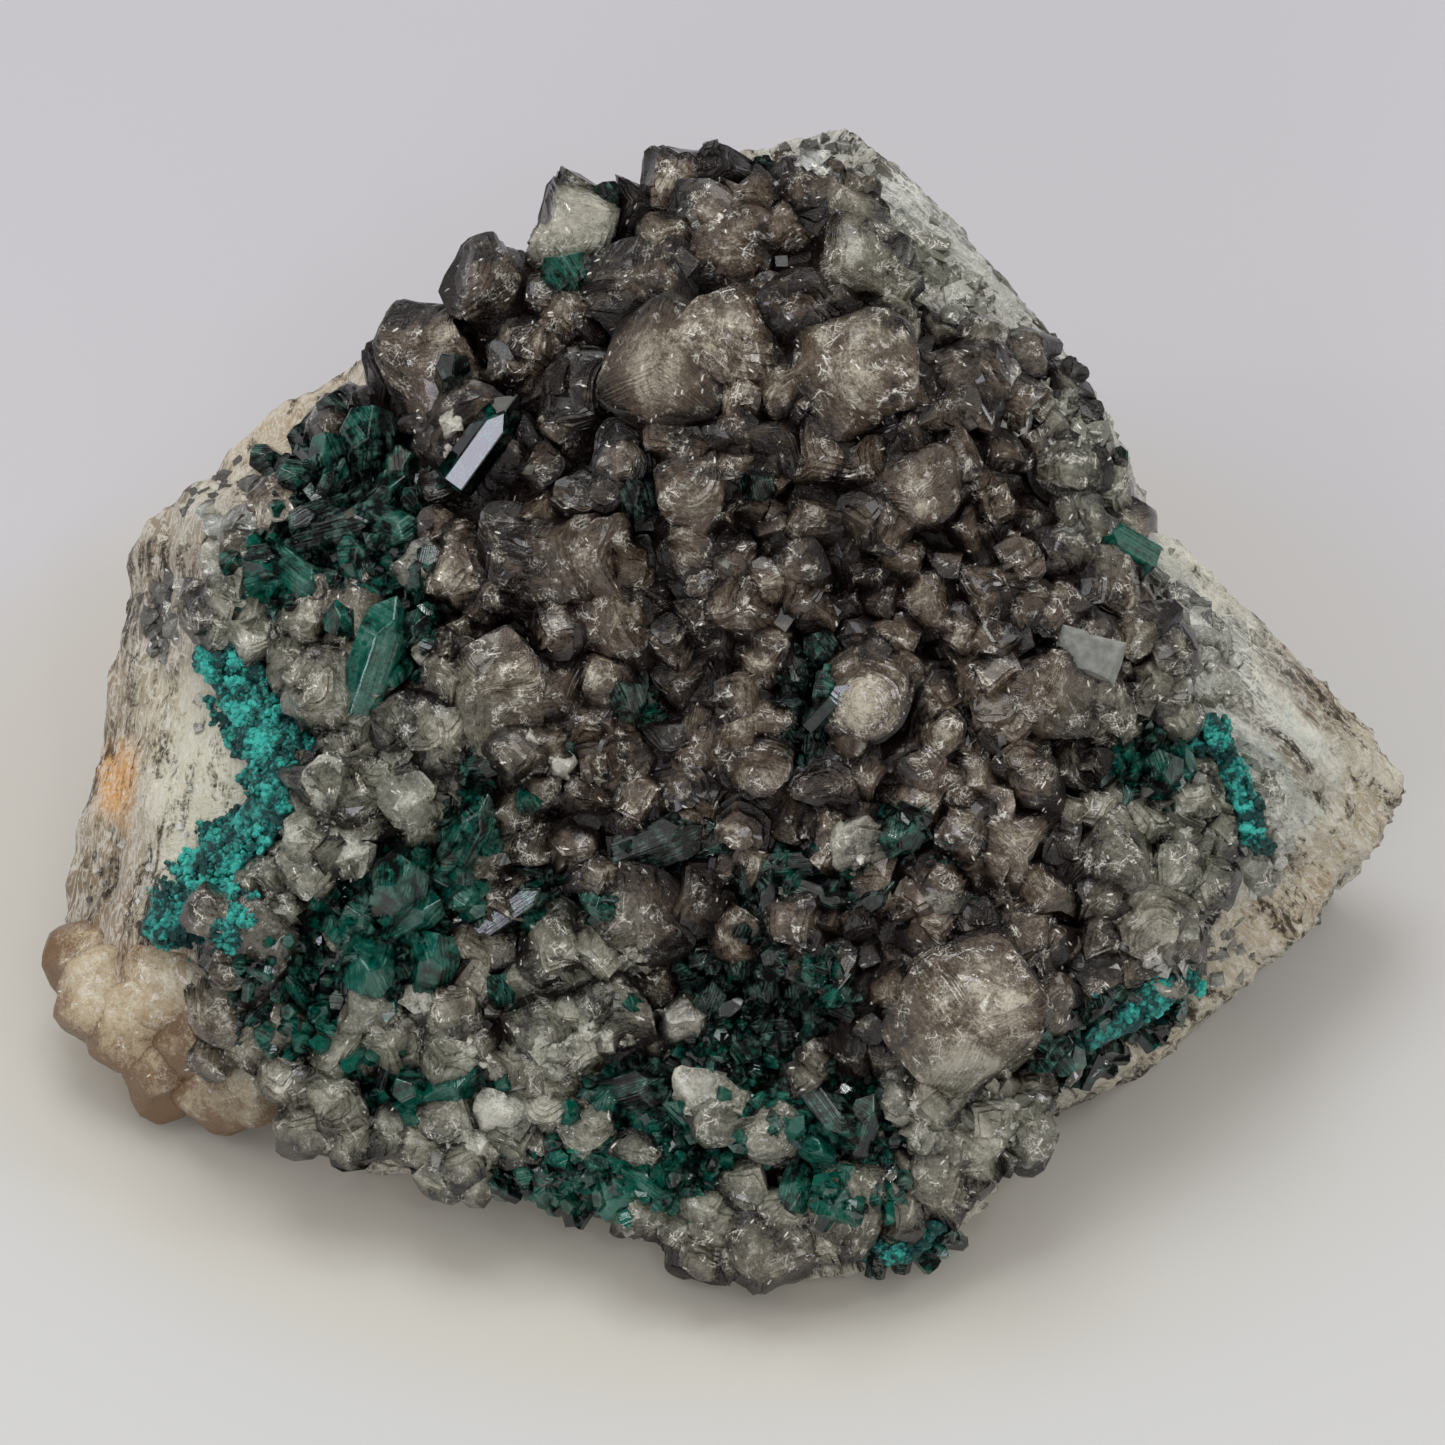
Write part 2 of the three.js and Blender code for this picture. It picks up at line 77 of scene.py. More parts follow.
def heading(degrees, rise=0.0):
    """A direction so many degrees round from the right in the plane of the face, and so many out of it."""
    degrees, rise = math.radians(degrees), math.radians(rise)
    flat = math.cos(rise)
    return math.cos(degrees) * flat * RIGHT + math.sin(degrees) * flat * UP_FACE + math.sin(rise) * OUT


def on_grid(points):
    """Columns, rows and distances out of the plane of an array of points in millimetres."""
    points = points + MIDDLE
    columns = points @ RIGHT / GRID_MM + GRID_MIDDLE
    rows = GRID_MIDDLE - points @ UP_FACE / GRID_MM
    return columns, rows, points @ OUT


# %% [markdown]
# ## The camera
#
# The specimen was photographed from above with a long lens, square on to its face. A long lens keeps the
# near and the far side of the lump at almost the same scale.
# %% Camera
CAMERA_AWAY = 1.6  # metres
AIM_OUT = 30  # the camera frames the whole grid at this distance out
SENSOR = 36


def put(name, data):
    """A new object in the scene."""
    made = bpy.data.objects.new(name, data)
    bpy.context.scene.collection.objects.link(made)
    return made


camera_data = bpy.data.cameras.new("camera")
camera_data.sensor_width = SENSOR
camera_data.lens = SENSOR * CAMERA_AWAY / (2 * GRID_MIDDLE * GRID_MM * MM)
camera_data.clip_start = 0.05
camera = put("camera", camera_data)
camera.location = Vector(face_place(GRID_MIDDLE, GRID_MIDDLE, AIM_OUT) * MM) + Vector(OUT) * CAMERA_AWAY
camera.rotation_euler = Vector(OUT).to_track_quat("Z", "Y").to_euler()
bpy.context.scene.camera = camera
bpy.context.scene.view_settings.view_transform = "Standard"
print("lens, mm:", round(camera_data.lens))

# %% [markdown]
# ## Shader maths as Python
#
# A finish on a mineral is mostly arithmetic: how high a point is, how pale the crystal, how near an edge. A
# small class wraps a socket, so that the arithmetic reads as arithmetic. A second one stands for a node tree
# and adds nodes to it.
# %% Classes for sockets and for node trees


class Flow:
    """A number, vector or colour on its way through the nodes of a tree."""

    def __init__(self, nodes, socket):
        self.nodes, self.socket = nodes, socket

    def maths(self, operation, *others, clamp=False):
        values = dict(enumerate((self, *others)))
        return self.nodes.node("ShaderNodeMath", {"operation": operation, "use_clamp": clamp}, values)

    def __add__(self, other):
        return self.maths("ADD", other)

    def __sub__(self, other):
        return self.maths("SUBTRACT", other)

    def __mul__(self, other):
        return self.maths("MULTIPLY", other)

    def __rsub__(self, other):
        return self.nodes.node("ShaderNodeMath", {"operation": "SUBTRACT"}, {0: other, 1: self})

    def __pow__(self, other):
        return self.maths("POWER", other)

    __radd__ = __add__
    __rmul__ = __mul__

    def clamp(self):
        return self.maths("ADD", 0.0, clamp=True)

    def ridge(self, sharp):
        """Thin lines where a smooth noise passes through its middle."""
        return (1 - (self - 0.5).maths("ABSOLUTE") * sharp).clamp()

    def between(self, low, high):
        """0 below low, 1 above high, and smooth in between."""
        values = {"Value": self, "From Min": low, "From Max": high}
        return self.nodes.node("ShaderNodeMapRange", {"interpolation_type": "SMOOTHSTEP"}, values)


class Nodes:
    """A node tree, and the methods that add nodes to it."""

    def __init__(self, tree):
        self.tree = tree

    def node(self, kind, settings=None, values=None, output=0):
        """Adds a node with its settings, and its inputs linked or set. Returns one output."""
        made = self.tree.nodes.new(kind)
        for key, value in (settings or {}).items():
            setattr(made, key, value)
        for key, value in (values or {}).items():
            if isinstance(value, Flow):
                self.tree.links.new(value.socket, made.inputs[key])
            else:
                made.inputs[key].default_value = value
        return Flow(self, made.outputs[output])

    def place(self):
        """Object coordinates in millimetres."""
        where = self.node("ShaderNodeTexCoord", output=3)
        return self.node("ShaderNodeVectorMath", {"operation": "SCALE"}, {0: where, "Scale": 1 / MM})

    def vectors(self, operation, first, second, output=0):
        return self.node("ShaderNodeVectorMath", {"operation": operation}, {0: first, 1: second}, output)

    def noise(self, where, scale, detail=3.0, rough=0.55, warp=0.0, output=0):
        values = {"Vector": where, "Scale": scale, "Detail": detail, "Roughness": rough, "Distortion": warp}
        return self.node("ShaderNodeTexNoise", {}, values, output)

    def cells(self, where, scale):
        """How far a point is from the middle of its cell, and a random number for the whole cell."""
        away = self.node("ShaderNodeTexVoronoi", {}, {"Vector": where, "Scale": scale})
        colour = Flow(self, away.socket.node.outputs["Color"])
        return away, self.node("ShaderNodeSeparateColor", {}, {0: colour})

    def cell_walls(self, where, scale):
        """How far a point is from the nearest wall between two cells."""
        return self.node("ShaderNodeTexVoronoi", {"feature": "DISTANCE_TO_EDGE"}, {"Vector": where, "Scale": scale})

    def mix(self, share, first, second, blend="MIX"):
        settings = {"data_type": "RGBA", "blend_type": blend, "clamp_factor": True}
        return self.node("ShaderNodeMix", settings, {0: share, 6: first, 7: second}, output=2)


class Finish(Nodes):
    """A material with one Principled shader."""

    def __init__(self, name, **constants):
        self.material = bpy.data.materials.new(name)
        self.material.use_nodes = True
        super().__init__(self.material.node_tree)
        self.shader = self.tree.nodes["Principled BSDF"]
        self.output = self.tree.nodes["Material Output"]
        for socket, value in constants.items():
            self.shader.inputs[socket.replace("_", " ")].default_value = value

    def feed(self, **links):
        for socket, flow in links.items():
            self.tree.links.new(flow.socket, self.shader.inputs[socket.replace("_", " ")])

    def mark(self, name, output=2):
        """A number painted on the mesh; output 0 gives a colour and 1 a vector."""
        return self.node("ShaderNodeAttribute", {"attribute_name": name}, output=output)

    def bump(self, height, deep, strength=1.0):
        """Relief too fine to model, deep millimetres from its lowest to its highest point."""
        values = {"Height": height, "Distance": deep * MM, "Strength": strength}
        return self.node("ShaderNodeBump", {}, values)


def paint(red, green, blue):
    """A colour as seen on a screen, 0 to 255, as the linear light that shaders use."""
    return (*[(((c / 255) + 0.055) / 1.055) ** 2.4 if c > 10 else c / 255 / 12.92 for c in (red, green, blue)], 1)


# %% [markdown]
# ## Modelling helpers
#
# Masters are modelled with operators: a primitive is added, and its faces are picked by their place
# or normal and inset, extruded or cut. A finished master is read into arrays, because a specimen has hundreds
# of crystals, and each is the same few forms, stretched, turned and made uneven.
# %% Selecting, reading and copying


def pick(piece):
    """Makes a piece the active one and the only one selected."""
    bpy.ops.object.select_all(action="DESELECT")
    piece.select_set(True)
    bpy.context.view_layer.objects.active = piece


def start(add, **sizes):
    """Adds a primitive with nothing else selected, and returns it in object mode."""
    bpy.ops.object.select_all(action="DESELECT")
    add(**sizes)
    bpy.ops.object.transform_apply(location=True, rotation=True, scale=True)
    return bpy.context.object


def select_faces(wanted):
    """In edit mode, selects only the faces for which wanted(normal, number of sides) is true."""
    bpy.ops.mesh.select_mode(type="FACE")
    bpy.ops.mesh.select_all(action="DESELECT")
    mesh = bpy.context.object.data
    shape = bmesh.from_edit_mesh(mesh)
    shape.normal_update()
    for face in shape.faces:
        face.select_set(bool(wanted(face.normal, len(face.verts))))
    bmesh.update_edit_mesh(mesh)


def apply_modifier(piece, kind, **settings):
    modifier = piece.modifiers.new(kind.lower(), kind)
    for key, value in settings.items():
        setattr(modifier, key, value)
    pick(piece)
    bpy.ops.object.modifier_apply(modifier=modifier.name)


def corners_of(piece):
    """The corners of a piece in millimetres."""
    corners = np.empty(len(piece.data.vertices) * 3, np.float32)
    piece.data.vertices.foreach_get("co", corners)
    return corners.reshape(-1, 3).astype(float) / MM


def lift(piece, stretch=True):
    """Reads a master into arrays, its half width and half height made 1, and deletes its object."""
    mesh, corners = piece.data, corners_of(piece) * MM
    loops = np.empty(len(mesh.loops), np.int32)
    mesh.loops.foreach_get("vertex_index", loops)
    totals = np.empty(len(mesh.polygons), np.int32)
    mesh.polygons.foreach_get("loop_total", totals)
    bpy.data.objects.remove(piece)
    if stretch:
        corners[:, :2] /= np.hypot(corners[:, 0], corners[:, 1]).max()
        low, high = corners[:, 2].min(), corners[:, 2].max()
        corners[:, 2] = (corners[:, 2] - low) / (high - low) * 2 - 1
    return corners, loops, totals


SHAPES_SEED = 7
noise.seed_set(SHAPES_SEED)  # without it noise_vector starts from the clock, and each run has other shapes


def uneven(points, size, reach, seed=0.0):
    """Moves points, in millimetres, by a smooth noise whose lumps are size across."""
    shift = Vector((seed, seed * 1.7, seed * 0.6))
    moves = [noise.noise_vector(Vector(p) / size + shift) for p in points]
    return points + np.array(moves) * reach


MARKS = ("rise", "shade", "layer", "frost", "facing")
CRYSTAL_ANGLE, RHOMB_ANGLE, GRAIN_ANGLE = 35, 30, 20  # edges flatter than these are smoothed
LUMP_ANGLE, ROCK_ANGLE = 50, 60
FACET_ANGLE = 8  # the same for the facets of prisms, so that they stay flat up to their narrow bevels
CEILING = 49.5  # crystals of the crest are pressed down above this height in millimetres, to keep the size
PRESSED = 0.5  # the share of what stands over it that is taken off


class Heap:
    """Copies of masters, each with corners of its own, that become one mesh."""

    def __init__(self):
        self.corners, self.loops, self.totals, self.marks, self.count = [], [], [], [], 0

    def add(self, shape, points, rise=1.0, shade=0.5, layer=0.0, frost=0.0, core=None):
        """Adds a copy. The core is what the crystal bulges from; its middle is taken if none is given."""
        self.corners.append(points)
        self.loops.append(shape[1] + self.count)
        self.totals.append(shape[2])
        # Facing: how far a point looks out of the face from the crystal's core. The calcite finishes paint such tops
        # lighter and the sides darker, as painted light and shade.
        bulge = points - (points.mean(axis=0) if core is None else core)
        facing = bulge @ OUT / np.maximum(np.linalg.norm(bulge, axis=1), 1e-6)
        marks = np.empty((len(points), len(MARKS)))
        for i, value in enumerate((rise, shade, layer, frost, facing)):
            marks[:, i] = value
        self.marks.append(marks)
        self.count += len(points)

    def build(self, name, finish, angle):
        """Makes one mesh of all the copies, with their marks and finish."""
        corners, loops, totals = (np.concatenate(part) for part in (self.corners, self.loops, self.totals))
        corners[:, 2] -= np.maximum(corners[:, 2] - CEILING, 0) * PRESSED
        mesh = bpy.data.meshes.new(name)
        mesh.vertices.add(len(corners))
        mesh.vertices.foreach_set("co", (corners * MM).astype(np.float32).ravel())
        mesh.loops.add(len(loops))
        mesh.loops.foreach_set("vertex_index", loops.astype(np.int32))
        mesh.polygons.add(len(totals))
        mesh.polygons.foreach_set("loop_start", np.concatenate(([0], np.cumsum(totals)[:-1])).astype(np.int32))
        mesh.update()
        mesh.validate()
        piece = put(name, mesh)
        marks = np.concatenate(self.marks)
        for i, mark in enumerate(MARKS):
            paint_mark(piece, mark, marks[:, i])
        dress(piece, finish, angle)
        return piece


def paint_mark(piece, name, values):
    """Stores a number or a colour for each corner of a piece."""
    kind = "FLOAT" if values.ndim == 1 else "FLOAT_COLOR"
    mark = piece.data.attributes.new(name, kind, "POINT")
    mark.data.foreach_set("value" if kind == "FLOAT" else "color", values.astype(np.float32).ravel())


def dress(piece, finish, angle):
    """Gives a piece its finish and smooths it across edges flatter than angle."""
    piece.data.materials.clear()
    piece.data.materials.append(finish.material)
    pick(piece)
    bpy.ops.object.shade_smooth_by_angle(angle=math.radians(angle))
    print(f"{piece.name}: {sum(len(p.vertices) - 2 for p in piece.data.polygons)} triangles")


# %% [markdown]
# ## The ground under the crystals
#
# A crystal that is listed over a grid square still has to sit on what carries it. A ray is sent down
# on to the solids of the frame, and the crystal is sunk by a share of its own depth where the ray lands.
# %% Rays on to the rock and the crust


def tree_of(*names):
    """The solids of some nodes, in millimetres, ready for rays."""
    corners, faces = [], []
    for name in names:
        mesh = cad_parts[name].data
        faces += [[i + len(corners) for i in face.vertices] for face in mesh.polygons]
        corners += [v.co / MM for v in mesh.vertices]
    return BVHTree.FromPolygons(corners, faces)


PLACES_SEED = 11
dice = random.Random(PLACES_SEED)
ROCK = tree_of("matrix_rock")
CRUST = tree_of("calcite_crust")
GROUND = tree_of("matrix_rock", "calcite_crust")
NEAREST_SHARE = 0.5  # past the edge, the ground is looked for this far back to the middle
HERE_ONLY = 0.99  # the same, for no step back at all
RAY_FROM = 90  # rays start at this distance out, over everything


def ground_at(tree, column, row, nearest=NEAREST_SHARE):
    """Distance out of the ground over a square, or of the nearest ground towards the middle, or None."""
    right, down = column - GRID_MIDDLE, row - GRID_MIDDLE
    for share in np.arange(1, nearest, -0.02):
        above = face_place(GRID_MIDDLE + right * share, GRID_MIDDLE + down * share, RAY_FROM)
        hit = tree.ray_cast(Vector(above), Vector(-OUT))[0]
        if hit:
            return (np.array(hit) + MIDDLE) @ OUT
    return None


def on_ground(tree, column, row):
    """Whether a ray down on to this very square lands."""
    return ground_at(tree, column, row, HERE_ONLY) is not None


def spread(column, row, across, down):
    """A random square inside an oval, and how far it lies from the middle, 0 to 1."""
    angle, reach = dice.uniform(0, math.tau), math.sqrt(dice.random())
    return column + across * reach * math.cos(angle), row + down * reach * math.sin(angle), reach


def upright(axis, turn):
    """A right-handed basis, as rows, whose third row is the axis and whose second looks out of the face."""
    axis = axis / np.linalg.norm(axis)
    front = OUT if abs(axis @ OUT) < 0.98 else UP_FACE
    front = front - axis * (front @ axis)
    front /= np.linalg.norm(front)
    side = np.cross(front, axis)
    return np.array([
        side * math.cos(turn) + front * math.sin(turn),
        front * math.cos(turn) - side * math.sin(turn),
        axis,
    ])


ROOT = 0.2  # a crystal's root goes deeper by this share of its width
ROOT_BELOW = -0.7  # the root is what lies under this height of a master


def stand(unit, crystal, tree, sunk, turn=0.0, root=ROOT):
    """Points of half width and half height 1, stood in space where a crystal's row says.

    A row is grid column, grid row, width, height, degrees it points round from the right, degrees it rises.
    """
    column, row, width, tall, degrees, rise = crystal[:6]
    depth = tall * math.sin(math.radians(rise)) + width * math.cos(math.radians(rise))
    out = ground_at(tree, column, row) + depth * (0.5 - sunk)
    corners = unit * np.array([width / 2, width / 2, tall / 2])
    corners[:, 2] -= width * root * (unit[:, 2] < ROOT_BELOW)
    return corners @ upright(heading(degrees, rise), turn) + face_place(column, row, out)


# %% [markdown]
# ## Where dioptase and druse take over
#
# Small dioptase carpets the hollows in patches, and there the small calcites thin out. The ground under it
# is painted dark green, and elsewhere under the crystals dark brown: partly the crust's own colour and partly
# painted shade of the gaps.
# %% Carpets of small dioptase


def patch(columns, rows, column, row, across, down, turn=0.0, soft=0.45):
    """1 inside a soft oval on the grid and 0 outside it."""
    turn = math.radians(turn)
    right, lower = columns - column, rows - row
    u = (right * math.cos(turn) - lower * math.sin(turn)) / across
    v = (right * math.sin(turn) + lower * math.cos(turn)) / down
    return np.clip((1 + soft - np.hypot(u, v)) / (2 * soft), 0, 1)


CARPETS = {  # grid column, grid row, half width, half height in squares, number of prisms
    "upper left": (354, 500, 80, 78, 230), "behind hero": (410, 470, 40, 50, 40),
    "left pocket": (285, 572, 62, 45, 60), "beside big prisms": (400, 620, 40, 90, 50),
    "lower left": (400, 915, 78, 88, 150), "left foot": (300, 995, 70, 60, 60),
    "low row": (420, 1085, 90, 36, 80), "centre": (745, 1010, 115, 95, 260),
    "low centre": (645, 1110, 85, 60, 130), "under spear": (840, 1125, 75, 60, 110),
    "by lying one": (560, 905, 60, 45, 50), "fan": (670, 842, 52, 26, 40),
    "row": (800, 885, 75, 34, 60), "dark pocket": (800, 712, 34, 60, 45), "hollow": (630, 702, 30, 30, 20),
    "right pocket": (1145, 775, 45, 48, 60), "right low": (1072, 1040, 42, 36, 50),
    "right crust": (1135, 1008, 48, 26, 50), "centre right": (900, 842, 34, 34, 24),
    "small right": (955, 852, 24, 22, 14), "middle left": (478, 805, 34, 60, 40),
    "lower rim": (580, 1172, 90, 40, 160), "lower rim middle": (695, 1165, 62, 48, 90),
    "foot": (850, 1180, 60, 30, 40), "foot crust": (915, 1240, 40, 16, 30),
}


def carpet_share(columns, rows):
    """How green the ground is at places on the grid."""
    share = np.zeros(np.shape(columns))
    for column, row, across, down, _ in CARPETS.values():
        share = np.maximum(share, patch(columns, rows, column, row, across, down, soft=0.3))
    return share


# %% [markdown]
# ## The rock
#
# The matrix is broken carbonate rock: lumps, short ledges that run one way on each side, and a sugary fine
# grain. The solid of the frame has the broad form. A copy of it is merged, remeshed into an even net and
# pushed in and out by procedural textures, those of the ledges stretched along them. The push fades out at
# the base, so that the specimen still stands on its flat.
# %% Rock mesh
ROCK_VOXEL = 0.55
CLOSE_GAP = 0.28  # the rock is swollen by this, so that no slit is left under the crust
FOOT, FOOT_FADE = 0.3, 2.5  # the base stays flat up to the first, in millimetres, and the push grows over the next
SIDES_BLEND = 10  # millimetres over which the beds of the left side give way to those of the right
DRAWN_OUT = 6  # ledges are this many times longer than wide
RIGHT_BED, LEFT_BED = heading(-41), heading(84)
PERLIN = {"noise_basis": "ORIGINAL_PERLIN"}
WELD = 0.01 * MM


def copy_of(node, name):
    """A merged copy of a solid of the frame."""
    piece = put(name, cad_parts[node].data.copy())
    pick(piece)
    bpy.ops.object.mode_set(mode="EDIT")
    bpy.ops.mesh.select_all(action="SELECT")
    bpy.ops.mesh.remove_doubles(threshold=WELD)
    bpy.ops.object.mode_set(mode="OBJECT")
    return piece


def push(piece, kind, lump_mm, reach_mm, group="", along=None, **settings):
    """Pushes a surface in and out along its normals by a procedural texture, drawn out along a direction."""
    texture = bpy.data.textures.new(f"{piece.name}_{kind.lower()}", kind)
    for key, value in {"noise_scale": lump_mm * MM, **settings}.items():
        setattr(texture, key, value)
    guide = put("guide", None)
    if along is not None:
        guide.rotation_euler = Vector(along).to_track_quat("X", "Z").to_euler()
        guide.scale = (DRAWN_OUT, 1, 1)
    bpy.context.view_layer.update()
    apply_modifier(
        piece, "DISPLACE", texture=texture, strength=reach_mm * MM, mid_level=0.5,
        texture_coords="OBJECT", texture_coords_object=guide, vertex_group=group,
    )
    bpy.data.objects.remove(guide)
    bpy.data.textures.remove(texture)


def paint_group(piece, name, weights):
    """A vertex group with a weight for each corner."""
    group = piece.vertex_groups.new(name=name)
    for i, weight in enumerate(weights):
        group.add([i], float(weight), "REPLACE")


rock = copy_of("matrix_rock", "rock")
apply_modifier(rock, "REMESH", mode="VOXEL", voxel_size=ROCK_VOXEL * MM)
points = corners_of(rock)
free = np.clip((points[:, 2] - FOOT) / FOOT_FADE, 0, 1)
rightward = np.clip(points[:, 0] / SIDES_BLEND, 0, 1)
paint_group(rock, "above base", free)
paint_group(rock, "right", free * rightward)
paint_group(rock, "left", free * (1 - rightward))
apply_modifier(rock, "DISPLACE", strength=CLOSE_GAP * MM, mid_level=0, vertex_group="above base")
push(rock, "CLOUDS", 6, 1.4, "above base", noise_depth=2, **PERLIN)
push(rock, "VORONOI", 3.2, 0.7, "above base", distance_metric="DISTANCE_SQUARED", weight_1=1)
push(rock, "CLOUDS", 2.4, 2.2, "right", along=RIGHT_BED, noise_depth=2, **PERLIN)
push(rock, "MUSGRAVE", 1.5, 1.1, "right", along=RIGHT_BED, musgrave_type="RIDGED_MULTIFRACTAL", noise_intensity=0.4)
push(rock, "CLOUDS", 2.0, 1.6, "left", along=LEFT_BED, noise_depth=2, **PERLIN)
push(rock, "CLOUDS", 1.1, 0.5, "above base", noise_depth=3, **PERLIN)
print("rock:", len(rock.data.vertices), "corners")

# %% [markdown]
# ## The rock's finish
#
# The lump isn't one colour. The right flank is whitish grey and sparkles, its far tip is a cream you can see
# into, the left face is cream, its outer margin is banded honey and brown, and the slab behind is tan. Each
# of these is a soft patch on the face, laid over a base tone as a mark on the mesh. The shader adds the
# streaks that run down the flank, the sugar grain, painted shade in the hollows, and flat cleavage cells that
# are glossier and painted whiter, as painted glints.
# %% Rock colours
BASE_TONE = (190, 184, 168)
STAINS = {  # grid column, grid row, half width and half height in squares, turn in degrees, colour
    "right flank": (1270, 760, 150, 220, 40, (214, 220, 212)),
    "right ridge": (1330, 700, 30, 190, 40, (220, 217, 200)),
    "outer tan": (1300, 640, 20, 220, 38, (190, 172, 142)),
    "cream seam": (1264, 655, 11, 190, 38, (250, 246, 228)),
    "dark seam": (1236, 690, 11, 150, 38, (128, 114, 92)),
    "pit seam": (1322, 716, 10, 120, 38, (124, 108, 86)),
    "right tip": (1385, 795, 60, 80, 0, (214, 208, 186)),
    "crest": (900, 190, 160, 60, -35, (194, 195, 190)),
    "white patch": (908, 188, 24, 22, 0, (255, 255, 255)),
    "top flank": (1010, 340, 75, 190, 30, (200, 202, 196)),
    "cream face": (188, 800, 62, 150, 8, (228, 225, 204)),
    "honey margin": (98, 800, 42, 210, 4, (164, 146, 120)),
    "amber": (112, 782, 18, 40, 4, (230, 176, 110)),
    "grey margin": (82, 930, 40, 70, 10, (142, 126, 102)),
    "cream lump": (92, 1015, 50, 44, 0, (248, 238, 210)),
    "low left": (150, 1060, 110, 50, -25, (236, 218, 180)),
    "brown break": (165, 985, 70, 36, -30, (170, 138, 108)),
    "brown seam": (190, 1030, 60, 20, -30, (150, 112, 78)),
    "amber foot": (150, 1080, 24, 18, 0, (226, 184, 116)),
    "amber foot 2": (220, 1105, 26, 18, 0, (214, 170, 100)),
    "back slab": (300, 420, 120, 50, 28, (210, 194, 170)),
    "shoulder": (175, 560, 60, 65, 30, (176, 166, 150)),
    "bronze": (175, 625, 40, 34, 30, (168, 146, 116)),
    "low rim": (620, 1215, 220, 45, -10, (176, 174, 158)),
    "low tan": (740, 1255, 60, 34, 0, (240, 224, 190)),
    "lower right": (1180, 1010, 110, 50, 40, (204, 194, 170)),
    "right underside": (1290, 900, 90, 40, 45, (202, 188, 162)),
}
UNDER_REACH = 1.4  # rock this near to the crust has its colour
# the colours under the crystals: the crust's own dark colours, made darker as painted shade of the gaps
UNDER_CALCITE_SHADED = (44, 31, 25)
UNDER_DIOPTASE_SHADED = (5, 40, 37)
STAIN_LUMP, STAIN_STRAYS = 3.5, 1.2  # how the outlines of the stains wander, in millimetres


def stain_mark(piece):
    """Paints a piece with the stains, and with the dark colours under the crystals, partly painted shade."""
    points = corners_of(piece)
    columns, rows, _ = on_grid(uneven(points, STAIN_LUMP, STAIN_STRAYS))
    tone = np.tile(paint(*BASE_TONE), (len(points), 1))
    for column, row, across, down, turn, colour in STAINS.values():
        weight = patch(columns, rows, column, row, across, down, turn)[:, None]
        tone = tone * (1 - weight) + np.array(paint(*colour)) * weight
    crusted = np.array([CRUST.find_nearest(Vector(p), UNDER_REACH)[0] is not None for p in points])
    green = carpet_share(columns, rows)[:, None]
    dark = np.array(paint(*UNDER_CALCITE_SHADED)) * (1 - green) + np.array(paint(*UNDER_DIOPTASE_SHADED)) * green
    paint_mark(piece, "stain", np.where(crusted[:, None], dark, tone))


def bedding_mark(piece):
    """Coordinates that run along the rock's beds, across them and out of the face."""
    points = corners_of(piece)
    share = np.clip((points[:, :1] / SIDES_BLEND + 1) / 2, 0, 1)
    along = LEFT_BED * (1 - share) + RIGHT_BED * share
    along /= np.linalg.norm(along, axis=1)[:, None]
    across = np.cross(along, OUT)
    mark = piece.data.attributes.new("bedding", "FLOAT_VECTOR", "POINT")
    bedding = np.stack([(points * along).sum(1), (points * across).sum(1), points @ OUT], axis=1)
    mark.data.foreach_set("vector", bedding.astype(np.float32).ravel())


stain_mark(rock)
bedding_mark(rock)

# %% [markdown]
# Light and dark streaks run along the beds, with bright threads where a bed ends in a broken edge. Where the
# rock was split through coarse calcite, thin white lines part its grey faces.
# %% Rock material
COARSE = [  # ovals of coarse calcite: column, row, half width, half height in squares, turn
    (1195, 670, 80, 85, 40), (1245, 800, 36, 70, 20), (1140, 470, 26, 80, 25), (925, 225, 60, 60, 0),
    (178, 625, 44, 38, 30),
]


def paint_ovals(piece, name, ovals):
    """Marks the corners of a piece that lie in some soft ovals of the face."""
    columns, rows, _ = on_grid(corners_of(piece))
    paint_mark(piece, name, np.max([patch(columns, rows, *oval) for oval in ovals], axis=0))


paint_ovals(rock, "coarse", COARSE)
CALCITE_IOR = 1.6
rock_finish = Finish("carbonate rock", IOR=CALCITE_IOR)
where = rock_finish.place()
drawn = rock_finish.vectors("MULTIPLY", rock_finish.mark("bedding", output=1), (0.2, 1.0, 0.8))
stain, coarse = rock_finish.mark("stain", output=0), rock_finish.mark("coarse")
relief = rock_finish.mark("relief")
strata = rock_finish.noise(drawn, 0.5, detail=4, rough=0.62, warp=0.5)
bands = rock_finish.noise(drawn, 0.22, detail=2, warp=0.6).between(0.5, 0.66)
threads = rock_finish.noise(drawn, 1.5, detail=2, rough=0.6, warp=1.4).ridge(8) ** 2
mottle = rock_finish.noise(where, 0.45, detail=3, rough=0.7)
pits = rock_finish.noise(where, 2.2, detail=4, rough=0.75)
crack = rock_finish.noise(where, 0.3, detail=3, rough=0.6, warp=1.5).ridge(16) ** 2
# Flat cleavage cells: glossier, and painted whiter below as painted glints.
cleavage_glint = rock_finish.cells(where, 2.1)[1].between(0.9, 0.94)
light = 1.42 + (strata - 0.5) * 9.0 + (mottle - 0.5) * 2.4 + (pits - 0.5) * 3.2 - crack * 0.6
